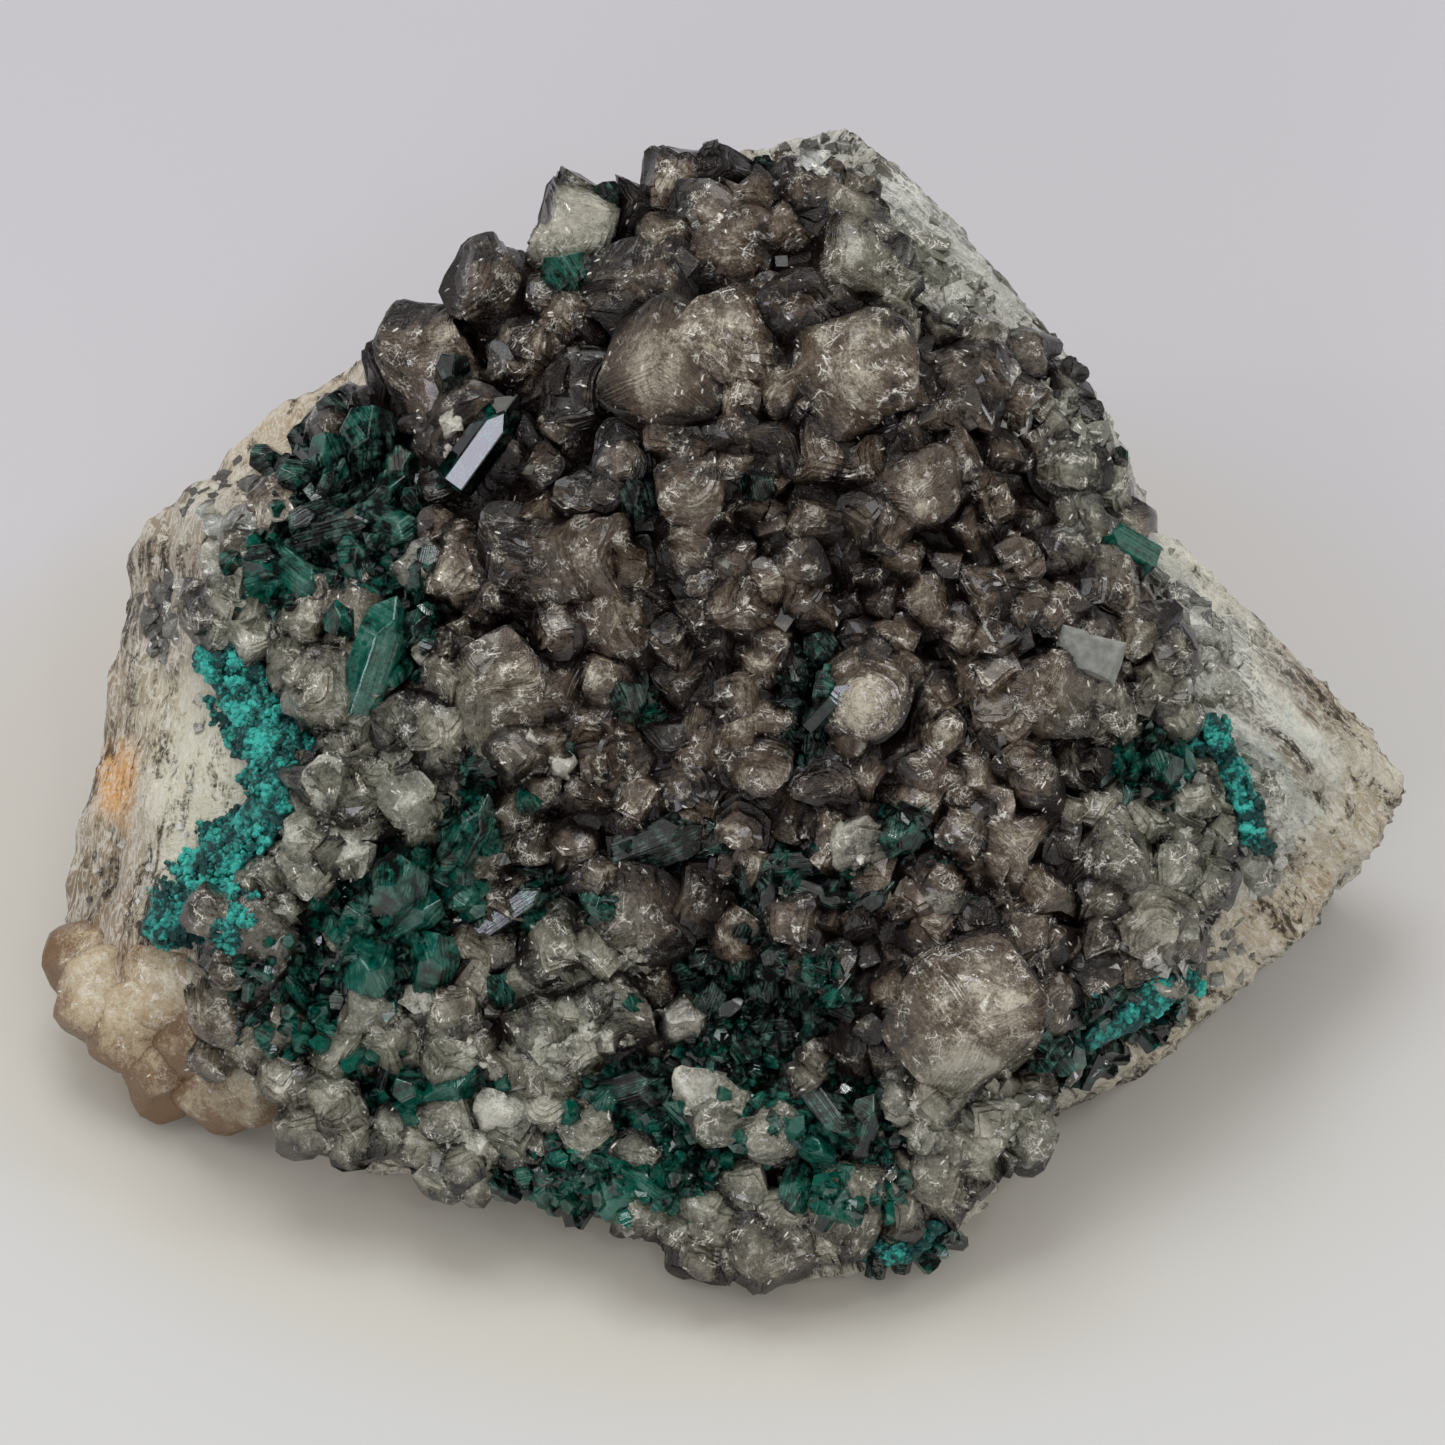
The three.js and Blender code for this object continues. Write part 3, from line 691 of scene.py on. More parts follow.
# Points well below the rock round them are painted darker: painted shade in the hollows.
light = light * (0.3 + relief.between(-4.0, -1.4) * 0.7)
shadow = rock_finish.mix(light.clamp(), paint(96, 86, 70), paint(255, 255, 255))
tone = rock_finish.mix(1.0, stain, shadow, "MULTIPLY")
tanned = rock_finish.mix(1.0, tone, paint(206, 186, 156), "MULTIPLY")
tone = rock_finish.mix(bands * 0.5, tone, tanned)
strayed = rock_finish.vectors("ADD", where, rock_finish.noise(where, 0.8, output=1))
parted = (1 - rock_finish.cell_walls(strayed, 0.5).between(0.0, 0.06)) * (mottle + pits).between(0.8, 1.0) * coarse
tone = rock_finish.mix(coarse * 0.6, tone, paint(168, 172, 168))
bright = threads * (mottle + pits - 0.4) * 2.0 + cleavage_glint * 0.6
bright = bright + (strata - 0.56) * 3.0 * (1 - coarse) + parted * 1.6
tone = rock_finish.mix(bright.clamp(), tone, rock_finish.mix(0.45, paint(248, 247, 240), stain))
gloss = 0.62 - cleavage_glint * 0.44 - threads * 0.3
rock_finish.feed(Base_Color=tone, Roughness=gloss, Normal=rock_finish.bump(strata * 1.4 + pits * 0.8, 0.6))
print("rock finish:", len(rock_finish.tree.nodes), "nodes")

# %% [markdown]
# ## Calcite masters
#
# Calcite of this habit is a nailhead: a blunt cap of three faces on a short body. Growth stopped and
# started, so the faces carry nested terraces and the body has a ridge for every layer. The master is a cube
# stood on its corner. Its lower faces go, the rim is drawn down in ridges, and each upper face becomes one
# many-sided face that is inset and raised again and again, with uneven treads.
# %% Nailhead
MASTERS_SEED = 3
masters_dice = random.Random(MASTERS_SEED)
CORNER_UP = Vector((1, 1, 1)).rotation_difference(Vector((0, 0, 1)))
THIRDS = [CORNER_UP @ Vector(axis) for axis in ((1, 0, 0), (0, 1, 0), (0, 0, 1))]


def draw_out(ridges, pitch, swell):
    """Extrudes the selection by ridges that swell and shrink; the pitch is one ridge's length with its sign."""
    for _ in range(ridges):
        for wider in (1 + swell * masters_dice.uniform(0.4, 1.3), 1 / (1 + swell)):
            bpy.ops.mesh.extrude_region_move(TRANSFORM_OT_translate={"value": (0, 0, pitch / 2)})
            bpy.ops.transform.resize(value=(wider, wider, 1))


STEP_SLOPE = 0.985  # the top of a step is this much smaller than its foot


def terrace(count, reach, height, up=(0, 0, 1), shift=(0, 0, 0)):
    """Raises the selected face in steps. Each is a smaller copy of it, set back on the last and lifted."""
    left = 1.0
    for step in range(count):
        tread = reach / count * masters_dice.uniform(0.6, 1.4) / left
        left *= 1 - tread
        lower = height / count * masters_dice.uniform(0.6, 1.4) * (1.5 - step / count)
        bpy.ops.mesh.extrude_region_move()
        bpy.ops.transform.resize(value=(1 - tread,) * 3)
        bpy.ops.mesh.extrude_region_move(TRANSFORM_OT_translate={"value": Vector(up) * lower})
        bpy.ops.transform.resize(value=(STEP_SLOPE,) * 3)
        bpy.ops.transform.translate(value=Vector(shift) * (reach / count) * masters_dice.uniform(0.3, 1.7))
    bpy.ops.mesh.poke()


def finish_master(piece):
    """Turns the normals out, leaves edit mode and reads the master."""
    bpy.ops.mesh.select_all(action="SELECT")
    bpy.ops.mesh.normals_make_consistent(inside=False)
    bpy.ops.object.mode_set(mode="OBJECT")
    return lift(piece)


def nailhead(cuts, terraces, ridges, flat, body, reach, height, soft=3):
    """Cuts set how fine the net is, flat squashes the cap, and soft rounds it. The body is its own length."""
    piece = start(bpy.ops.mesh.primitive_cube_add, size=2, rotation=CORNER_UP.to_euler())
    bpy.ops.object.mode_set(mode="EDIT")
    select_faces(lambda normal, sides: normal.z < 0)
    bpy.ops.mesh.delete(type="FACE")
    bpy.ops.mesh.select_all(action="SELECT")
    bpy.ops.mesh.subdivide(number_cuts=cuts)
    for third in THIRDS:
        select_faces(lambda normal, sides: normal.dot(third) > 0.9)
        bpy.ops.mesh.dissolve_faces()
    bpy.ops.mesh.select_all(action="SELECT")
    bpy.ops.transform.resize(value=(1, 1, flat), center_override=(0, 0, 0))
    bpy.ops.mesh.vertices_smooth(factor=0.5, repeat=soft)
    bpy.ops.mesh.region_to_loop()
    draw_out(ridges, -body / max(ridges, 1), 0.03)
    bpy.ops.mesh.edge_face_add()
    for third in THIRDS if terraces else []:
        up = Vector((third.x * flat, third.y * flat, third.z)).normalized()
        select_faces(lambda normal, sides: normal.dot(up) > 0.8 and sides >= 4 * (cuts + 1))
        terrace(terraces, reach * masters_dice.uniform(0.8, 1.2), height, up)
    return finish_master(piece)


# %% [markdown]
# The other habit has one cap only. Thin rings step up round a pale middle like a turban, or a barrel lies on
# its side with ridges round it like a stack of plates. Both start from a round plate, drawn up in ridges and
# then inset and raised ring by ring, with each step moved a little to one side.
# %% Stacks of plates


def stack(sides, ridges, rings, pitch, swell, reach, height, shift=0.0, corner=0.0):
    """The body has ridges and the top has rings. Corner is how far the outline strays from a circle."""
    piece = start(bpy.ops.mesh.primitive_circle_add, vertices=sides, radius=1, fill_type="NGON")
    bpy.ops.object.mode_set(mode="EDIT")
    shape = bmesh.from_edit_mesh(piece.data)
    for vertex in shape.verts:
        angle = math.atan2(vertex.co.y, vertex.co.x)
        vertex.co *= 1 + corner * math.cos(6 * angle) + corner * 0.7 * math.cos(2 * angle + 0.5)
    bmesh.update_edit_mesh(piece.data)
    bpy.ops.mesh.select_all(action="SELECT")
    draw_out(ridges, pitch, swell)
    terrace(rings, reach, height, shift=(shift, shift * 0.4, 0))
    return finish_master(piece)


BROAD = nailhead(cuts=10, terraces=6, ridges=12, flat=1.0, body=1.3, reach=0.26, height=0.2, soft=2)
FLAT_FACED = nailhead(cuts=6, terraces=5, ridges=10, flat=0.95, body=1.3, reach=0.2, height=0.28, soft=1)
BIG_NAILHEAD = nailhead(cuts=8, terraces=5, ridges=7, flat=0.85, body=1.2, reach=0.4, height=0.14, soft=3)
NAILHEADS = [
    nailhead(cuts=4, terraces=3, ridges=3, flat=0.85, body=0.9, reach=0.4, height=0.1, soft=2),
    nailhead(cuts=4, terraces=2, ridges=3, flat=0.6, body=0.8, reach=0.5, height=0.08, soft=3),
    nailhead(cuts=4, terraces=2, ridges=2, flat=1.0, body=0.8, reach=0.3, height=0.06, soft=1),
]
SHARP = nailhead(cuts=3, terraces=2, ridges=2, flat=0.9, body=0.9, reach=0.3, height=0.05, soft=0)
SMALL = nailhead(cuts=2, terraces=1, ridges=1, flat=0.75, body=0.8, reach=0.3, height=0.06, soft=1)
SEED = nailhead(cuts=1, terraces=0, ridges=1, flat=0.8, body=0.8, reach=0, height=0, soft=1)
CHIP = nailhead(cuts=0, terraces=0, ridges=1, flat=0.7, body=0.5, reach=0, height=0, soft=0)


def small_rhomb():
    """The plainest crystal, a cube stood on its corner, for grains too small to show more."""
    piece = start(bpy.ops.mesh.primitive_cube_add, size=2, rotation=CORNER_UP.to_euler())
    bpy.ops.object.mode_set(mode="EDIT")
    return finish_master(piece)


RHOMB = small_rhomb()
TURBAN = stack(36, 4, 12, 0.16, 0.04, reach=0.62, height=0.45, shift=0.2, corner=0.02)
DOMES = [
    stack(20, 4, 4, 0.2, 0.04, reach=0.6, height=0.3, shift=0.25, corner=0.05),
    stack(18, 4, 3, 0.2, 0.03, reach=0.6, height=0.25, shift=-0.3, corner=0.07),
]
BARREL = stack(20, 9, 4, 0.22, 0.04, reach=0.6, height=0.15, corner=0.05)
for label, master in {"big nailhead": BIG_NAILHEAD, "nailhead": NAILHEADS[0], "dome": DOMES[0]}.items():
    print(label, "triangles:", (master[2] - 2).sum())

# %% [markdown]
# ## Where the calcites stand
#
# The big crystals are the face of this specimen, so each is listed with its own place, size and lean. A
# seventh number gives how pale and frosted its top is.
# %% Survey of the calcites
CALCITES = {  # grid column, grid row, width, height in mm, degrees round, rise, pale
    "turban": [
        [864, 695, 6.5, 8.5, 260, 74, 0.75], [753, 768, 4.9, 6.5, 300, 66, 0.4], [768, 1126, 4.9, 6, 250, 60, 0.5],
        [628, 458, 4.6, 5.5, 200, 76, 0.3],
    ],
    "big": [
        [965, 1012, 9.6, 10, 292, 66, 0.66], [668, 372, 8.4, 9.5, 150, 76, 1.1], [445, 358, 7.6, 8, 60, 60, 0.45],
        [640, 916, 7.2, 7, 250, 66, 0.5], [645, 292, 7.2, 6.5, 120, 70, 0.2], [1043, 690, 6.6, 6.5, 270, 70, 0.3],
        [915, 492, 6, 6.5, 240, 74, 0.55], [850, 272, 6.6, 5, 120, 75, 0.35], [503, 686, 6.6, 6.5, 190, 62, 0.0],
    ],
    "dome": [
        [575, 226, 6.2, 6.5, 100, 50, 0.8], [640, 212, 4.6, 5, 120, 60, 0.2], [680, 182, 5, 6, 90, 55, 0.2],
        [808, 190, 4.8, 4.5, 90, 65, 0.15], [710, 230, 5.6, 5.5, 90, 70, 0.25], [570, 378, 5.8, 4.2, 200, 70, 0],
        [492, 456, 7.4, 4.5, 260, 72, 0.2], [514, 556, 6.2, 6, 170, 60, 0.0], [558, 690, 6, 5, 300, 65, 0.1],
        [818, 462, 5.2, 4.5, 240, 74, 0.2], [812, 519, 5, 5.5, 120, 74, 0.35], [960, 388, 4.9, 6, 290, 72, 0.3],
        [1012, 414, 4.6, 4.5, 300, 70, 0.3], [1062, 476, 5.4, 5.5, 30, 68, 0.55], [1096, 590, 5.8, 5, 300, 65, 0],
        [986, 592, 5.2, 5, 230, 74, 0.1], [745, 603, 4.6, 5.5, 240, 72, 0.45], [702, 738, 4.8, 4.5, 200, 72, 0.2],
        [738, 826, 4.8, 4, 250, 70, 0.3], [866, 772, 5, 4.5, 280, 66, 0.3], [935, 732, 4.6, 5, 320, 68, 0.3],
        [915, 806, 5.2, 4.5, 260, 70, 0.25], [976, 772, 4.6, 4.5, 310, 70, 0.4], [962, 676, 4.6, 4.5, 100, 74, 0.1],
        [1058, 766, 4.8, 4.5, 290, 68, 0.2], [1112, 856, 5.2, 5.5, 270, 64, 0.15], [1170, 836, 3.9, 5.5, 310, 58, 0.3],
        [1146, 924, 5.6, 5.5, 290, 60, 0.25], [830, 975, 4.8, 6, 280, 62, 0.15], [346, 1048, 4.8, 5, 230, 58, 0.5],
        [472, 884, 5.6, 4.5, 250, 66, 0.3], [548, 1108, 4.6, 4, 250, 60, 0.5], [845, 1200, 5.4, 5.5, 230, 56, 0.45],
        [934, 1188, 4.8, 4.5, 300, 56, 0.5], [702, 1248, 4.6, 4.5, 260, 50, 0.3], [640, 1204, 5.2, 4.5, 250, 55, 0.0],
        [250, 1040, 4.8, 4.4, 220, 50, 0.6], [408, 387, 5.8, 6, 200, 60, 0.4], [726, 178, 4.6, 5, 60, 60, 0.2],
        [730, 266, 5.2, 4.5, 270, 75, 0.15], [850, 212, 4.8, 4, 60, 70, 0.4], [800, 322, 5.8, 4, 250, 75, 0.2],
        [592, 402, 5.6, 4.5, 280, 70, 0], [575, 455, 2.8, 4, 120, 72, 0.2], [580, 504, 4.2, 5, 260, 70, 0.2],
        [448, 497, 4.4, 4, 200, 60, 0.2], [505, 587, 2.6, 5.5, 230, 65, 0.3], [486, 607, 4, 4, 220, 60, 0.2],
        [486, 739, 3.8, 4, 230, 60, 0.3], [590, 792, 4, 4.5, 200, 65, 0.2], [770, 442, 5, 5, 60, 70, 0.25],
        [862, 470, 4.4, 4.5, 300, 74, 0.4], [902, 440, 4.2, 4.5, 90, 70, 0.3], [1055, 552, 4.8, 4.5, 260, 70, 0.1],
        [840, 556, 4.6, 4, 250, 75, 0.1], [700, 583, 4.2, 4, 200, 74, 0.3], [720, 642, 4, 4, 260, 74, 0.2],
        [680, 680, 4.2, 4.5, 230, 72, 0.3], [717, 690, 4, 4, 320, 70, 0.2], [662, 742, 4.4, 4, 220, 70, 0.2],
        [682, 784, 4.2, 4, 240, 70, 0.3], [790, 822, 3.6, 5, 240, 68, 0.25], [822, 782, 4.8, 4, 280, 72, 0.1],
        [1066, 872, 4, 4, 260, 66, 0.1], [1066, 942, 2.8, 4.5, 280, 60, 0.8], [1124, 966, 3.6, 4, 280, 58, 0.3],
        [970, 920, 4, 4.5, 240, 66, 0.3], [702, 896, 4.4, 5, 330, 64, 0.3], [535, 842, 4.2, 4.5, 270, 66, 0],
        [284, 512, 4.4, 4.5, 140, 66, 0.5], [588, 1132, 4.2, 4.5, 250, 58, 0.5], [895, 1182, 3.4, 4.5, 270, 60, 0.7],
        [268, 1030, 4.4, 4, 220, 55, 0.6],
    ],
    "rhomb": [
        [785, 238, 3.9, 4.5, 60, 66, 0.3], [890, 348, 4.4, 6.5, 60, 62, 0.6], [936, 340, 3.7, 4.5, 60, 70, 0.45],
        [950, 456, 4.8, 5.5, 60, 70, 0.45], [966, 533, 4.5, 5, 100, 78, 0.3], [920, 606, 5.3, 5.5, 70, 76, 0.4],
        [1008, 843, 5.6, 6.5, 330, 66, 0.75], [1028, 1040, 4.2, 6, 320, 54, 0.7], [1090, 984, 5, 3.5, 290, 60, 0.3],
        [400, 756, 4.6, 3.5, 200, 66, 0.3], [765, 1254, 5.6, 5.5, 265, 46, 0.6], [346, 932, 4, 4.5, 200, 60, 0.8],
        [1020, 364, 3.6, 4.5, 200, 66, 0.4], [1020, 520, 3.5, 4.5, 60, 70, 0.4],
        [898, 562, 3.8, 4, 100, 76, 0.3], [850, 605, 4, 4.5, 60, 70, 0.4], [656, 612, 3.6, 4, 60, 70, 0.4],
        [672, 520, 2.6, 5, 140, 66, 0.9], [250, 930, 5.4, 8, 105, 50, 0.1], [218, 1004, 4.2, 6, 110, 46, 0.2],
        [1062, 396, 4, 3.6, 40, 60, 0.8],
    ],
    "barrel": [
        [506, 296, 6, 8, 140, 36, 0.2], [846, 378, 6.6, 9, 32, 42, 0.3], [580, 568, 5.4, 9, 8, 36, 0.45],
        [604, 622, 4.8, 7, 5, 36, 0.3], [692, 508, 4.4, 8, 96, 50, 0.5], [612, 1004, 5, 7.5, 285, 44, 0.1],
        [560, 566, 5.6, 8, 10, 40, 0.35],
        [690, 542, 4.2, 5.5, 260, 52, 0.4], [1074, 908, 1.9, 4.6, 28, 26, 0.7], [1087, 734, 1.9, 4, 62, 40, 0.6],
        [648, 1046, 2.8, 4.5, 20, 36, 0.7], [716, 350, 6.6, 7, 18, 34, 0.4],
    ],
}
print("calcites listed:", sum(len(crystals) for crystals in CALCITES.values()))

# %% [markdown]
# Round each big crystal and in every gap grow smaller ones, down to a millimetre. Their places are drawn
# at random from a fixed seed. Each is seated by a ray, and none lands on the top of a big one.
# %% Calcite crystals
MASTERS = {
    "turban": [TURBAN],
    "big": [FLAT_FACED, BROAD, BIG_NAILHEAD, BIG_NAILHEAD],
    "rhomb": [SHARP, NAILHEADS[2]],
    "barrel": [BARREL],
    "dome": [NAILHEADS[0], NAILHEADS[2], NAILHEADS[1], NAILHEADS[0], DOMES[1], NAILHEADS[2], DOMES[0]],
}
CALCITE_SUNK = 0.2
STOUT = 1.27  # the real crystals are a little wider than their survey, and run into each other
WOBBLE = 0.15  # share of its width by which a crystal's outline strays
ETCH, ETCH_LUMP = 0.2, 0.7  # millimetres of finer unevenness on every crystal, and the size of its lumps
TOP_SHARE = 1 / 3 / GRID_MM  # the frosted top of a crystal reaches a third of its width round its middle
UNFROSTED = 0.15  # how frosted the rest of it is
FROSTED = {  # frosted spots of the best crystals: column, row, half width, half height in squares, turn
    (965, 1012): [(992, 1008, 38, 44, 20), (958, 1062, 50, 40, 20)],
    (668, 372): [(652, 370, 42, 52, 0)],
    (864, 695): [(868, 698, 27, 29, 0)],
}
TURNED = {(965, 1012): 1.1, (668, 372): 0.6}  # turn of a crystal about its axis, in radians
SMOOTH = {(965, 1012): 0.3, (668, 372): 0.35, (864, 695): 0.5}  # the share of the straying that a crystal has


def grow_calcite(heap, shape, crystal, tree, sunk=CALCITE_SUNK, turn=None, twins=0):
    """One crystal, with smaller twins that grow parallel to it and end a little lower."""
    spot = tuple(crystal[:2])
    crystal = [*spot, crystal[2] * STOUT, *crystal[3:]]
    width, tall, pale = crystal[2], crystal[3], crystal[6]
    strays, top = SMOOTH.get(spot, 1), [(*spot, width * TOP_SHARE, width * TOP_SHARE)]
    turn = dice.uniform(0, 2) if turn is None else turn
    seed, shade = dice.uniform(0, 40), dice.random()
    bodies = [(shape, shape[0])]
    for _ in range(twins):
        twin = dice.choice((SMALL, SMALL, SHARP))
        angle, size, drop = dice.uniform(0, math.tau), dice.uniform(0.4, 0.62), dice.uniform(0.1, 0.6)
        aside = np.array([math.cos(angle), math.sin(angle), 0]) * dice.uniform(0.4, 0.75)
        unit = twin[0] * np.array([size, size, 0.8]) + aside
        unit[:, 2] -= drop - 0.2
        bodies.append((twin, unit))
    for body, unit in bodies:
        points = stand(unit, crystal, tree, sunk, turn)
        core = points.mean(axis=0)
        points = uneven(points, width * 0.5, width * WOBBLE * strays, seed)
        points = uneven(points, ETCH_LUMP, min(ETCH, width * 0.06) * strays, seed)
        rise = np.clip((unit[:, 2] + 1) / 2, 0, 1)
        middle = unit[:, :2].mean(axis=0)
        layer = rise * tall + (1 - np.hypot(*(unit[:, :2] - middle).T)) * width / 2
        columns, rows, _ = on_grid(points)
        frost = np.max([patch(columns, rows, *oval, soft=0.5) for oval in FROSTED.get(spot, top)], axis=0)
        heap.add(body, points, rise, shade, layer, pale * (UNFROSTED + (1 - UNFROSTED) * frost), core)


upper_calcites, lower_calcites, small_calcites = Heap(), Heap(), Heap()
HALF_WAY = 640  # grid row that parts the two heaps
TWINS = {"turban": 0, "big": 0, "rhomb": 2, "barrel": 1, "dome": 3}
for habit, crystals in CALCITES.items():
    for i, crystal in enumerate(crystals):
        heap = upper_calcites if crystal[1] < HALF_WAY else lower_calcites
        shapes, turn = MASTERS[habit], TURNED.get(tuple(crystal[:2]))
        grow_calcite(heap, shapes[i % len(shapes)], crystal, ROCK, turn=turn, twins=TWINS[habit])
print("calcites grown, with their twins:", len(upper_calcites.totals) + len(lower_calcites.totals))

# %% [markdown]
# The gaps are filled from a few thousand tries. A try that lands off the crust, on a big crystal or in a
# green hollow is dropped, and a smaller crystal has fewer faces.
# %% Small calcites between the big ones
TURQUOISES = {  # the node, and ovals of the ground that its grains powder: column, row, half width, half height
    "turquoise_band": [
        (228, 662, 42, 22), (250, 712, 42, 40), (278, 748, 44, 26), (276, 786, 34, 24), (236, 836, 40, 30),
        (206, 900, 52, 56), (175, 930, 30, 24), (300, 770, 36, 16),
    ],
    "turquoise_streak": [(1212, 735, 20, 26), (1230, 775, 20, 34), (1248, 820, 16, 26), (1262, 845, 14, 10)],
    "turquoise_low_edge": [(1145, 1000, 48, 20), (1175, 985, 30, 16)],
    "turquoise_foot": [(905, 1240, 42, 20), (880, 1250, 20, 14)],
}
FILLERS = 6500
CRUST_THICK = 0.3  # where the crust is thinner than this in millimetres, nothing grows
LOW_ROWS, LOW_PALER = 1050, 0.3  # from this grid row down the small ones are paler by so much
listed = np.array([crystal[:3] for crystals in CALCITES.values() for crystal in crystals])


def in_turquoise(column, row, ovals):
    return any(patch(column, row, *oval, soft=0.2) > 0 for oval in ovals)


for _ in range(FILLERS):
    column, row = dice.uniform(180, 1230), dice.uniform(150, 1260)
    size, lean, chance = 0.7 + 3.0 * dice.random() ** 1.4, dice.uniform(0, 360), dice.random()
    crust_out, rock_out = ground_at(GROUND, column, row, HERE_ONLY), ground_at(ROCK, column, row, HERE_ONLY)
    if crust_out is None or rock_out is None or crust_out < rock_out + CRUST_THICK:
        continue
    apart = np.hypot(listed[:, 0] - column, listed[:, 1] - row) * GRID_MM
    if (apart < listed[:, 2] * 0.5).any() or chance < carpet_share(column, row):
        continue
    if in_turquoise(column, row, TURQUOISES["turquoise_streak"]):
        continue
    pale = 0.25 + LOW_PALER * (row > LOW_ROWS)
    crystal = [column, row, size, size * dice.uniform(0.9, 1.4), lean, dice.uniform(40, 85), pale]
    shape = SMALL if size > 2.8 else SEED if size > 1.9 else CHIP if size > 1.2 else RHOMB
    grow_calcite(small_calcites, shape, crystal, GROUND, sunk=0.3)
print("small calcites:", len(small_calcites.totals))

# %% [markdown]
# ## Calcite finish
#
# Smoky calcite is clear stone full of fine flaws. Light goes in and comes out again brownish, so the gaps
# between crystals are almost black, the tops are greige, and thin bright lines run round them where growth
# layers end. The clear part is plain transmission with calcite's own index. The colour is painted darker
# where a point stands low among its neighbours and on sides that look away from the camera, as painted shade,
# and lighter on tops that look towards it, as painted light. The growth lines and a net of wisps are pale
# threads, painted brighter where the crystal is lit, so partly painted highlights, and short white dashes are
# painted glints.
# %% Calcite material


def calcite_finish(name, deep, body, pale, clear, veined=1.0):
    """Three tones from the gaps to the tops, the darkest partly painted shade, how clear the stone is, and how thickly
    it is veined.
    """
    finish = Finish(name, IOR=CALCITE_IOR, Transmission_Weight=clear, Coat_Roughness=0.08)
    where = finish.place()
    shade, frost, layer = finish.mark("shade"), finish.mark("frost"), finish.mark("layer")
    relief, facing, cool = finish.mark("relief"), finish.mark("facing"), finish.mark("cool")
    cloud = finish.noise(where, 0.42, detail=4, rough=0.62, warp=0.5)
    fine = finish.noise(where, 2.6, detail=3, rough=0.75)
    broken = (finish.noise(where, 0.75, detail=1) + (fine - 0.5) * 0.25).between(0.53, 0.62)
    hair = finish.noise(where, 0.8, detail=3, rough=0.6, warp=2.4).ridge(30)
    # Short white dashes in random cells, turned with each crystal, become painted glints.
    turned = finish.node(
        "ShaderNodeVectorRotate", {"rotation_type": "AXIS_ANGLE"},
        {"Vector": where, "Axis": tuple(OUT), "Angle": shade * 6.3},
    )
    slim = finish.vectors("MULTIPLY", turned, (4.5, 1.2, 1.2))
    dashes, picked = finish.cells(slim, 1.0)
    near = 1 - dashes.between(0.26, 0.36)
    rings = (layer * 2.4 + cloud * 4.0).maths("FRACT").ridge(6)
    split = 1 - (finish.cell_walls(where, 0.7) + (cloud - 0.5) * 0.16).between(0.0, 0.03)
    # Painted shade: points low in the gaps are painted darker, less so in the cool patches, which are painted lighter.
    unshaded_share = (relief + cool * 0.7).between(-3.0, 1.0)
    glint = near * picked.between(0.955, 0.965) * unshaded_share * (fine + cloud).between(0.85, 1.05)
    grit = finish.noise(where, 6.5, detail=1, rough=0.7)
    # Painted light and shade: faces that look towards the camera lighter and gaps darker, over the random tone of the
    # clouds, the grain, each crystal's shade and its frost.
    light = facing.between(-0.5, 1.0) * 0.6 + (unshaded_share - 0.76) * 1.9 + (fine - 0.5) * 1.5
    light = light + (cloud - 0.5) * (3.6 - frost * 1.8)
    light = light + (shade - 0.5) * 0.8 + (frost - 0.25) * 1.1 + (grit - 0.5) * 1.0 - 0.53 + cool * 0.12
    middle = finish.mix(cool, body, paint(122, 122, 108))
    tone = finish.mix(light.between(-0.3, 0.75), deep, middle)
    tone = finish.mix(light.between(0.55, 1.7), tone, finish.mix(cool * 0.6, pale, paint(182, 183, 170)))
    # Pale threads of flaws, painted brighter where the crystal is lit: partly painted highlights. The dashes are
    # painted glints.
    lines = (hair * 0.9 + rings * 0.3 + split * 0.9) * broken * light.between(-0.4, 0.6)
    lines = lines * ((1.1 - frost).clamp() * veined)
    tone = finish.mix((lines + glint * 1.2).clamp(), tone, paint(250, 248, 240))
    gloss = 0.24 - glint * 0.15 + frost * 0.1 - (shade - 0.5) * 0.2 + (cloud - 0.5) * 0.9 - lines * 0.15
    height = cloud * 0.9 + fine * 0.3 + grit * 0.2
    finish.feed(Base_Color=tone, Roughness=gloss.clamp(), Coat_Weight=unshaded_share * 0.6, Normal=finish.bump(height, 0.35))
    return finish


smoky = calcite_finish("smoky calcite", paint(20, 10, 7), paint(96, 82, 68), paint(206, 199, 181), 0.14)
print("calcite finish:", len(smoky.tree.nodes), "nodes")

# %% [markdown]
# ## The crust that roots them
#
# Between the crystals the crust itself shows: a lumpy floor painted dark, partly in the crust's own colour
# and partly as painted shade of the gaps. A copy of the frame's crust is remeshed and roughened, and shrunk a
# little so that the new crystals cover its own plain ones.
# %% Crust mesh
CRUST_VOXEL = 0.9
SHRINK = 0.9  # millimetres

crust = copy_of("calcite_crust", "crust_floor")
apply_modifier(crust, "REMESH", mode="VOXEL", voxel_size=CRUST_VOXEL * MM)
apply_modifier(crust, "DISPLACE", strength=-SHRINK * MM, mid_level=0)
push(crust, "CLOUDS", 1.6, 0.7, noise_depth=3, **PERLIN)
stain_mark(crust)
floor_finish = Finish("crust floor", Roughness=0.55, IOR=CALCITE_IOR)
where = floor_finish.place()
cloud = floor_finish.noise(where, 1.2, detail=3, rough=0.7)
shadow = floor_finish.mix(cloud.between(0.3, 0.7), paint(110, 110, 110), paint(255, 255, 255))
tone = floor_finish.mix(1.0, floor_finish.mark("stain", output=0), shadow, "MULTIPLY")
floor_finish.feed(Base_Color=tone, Normal=floor_finish.bump(cloud, 0.4))
print("crust floor:", len(crust.data.vertices), "corners")

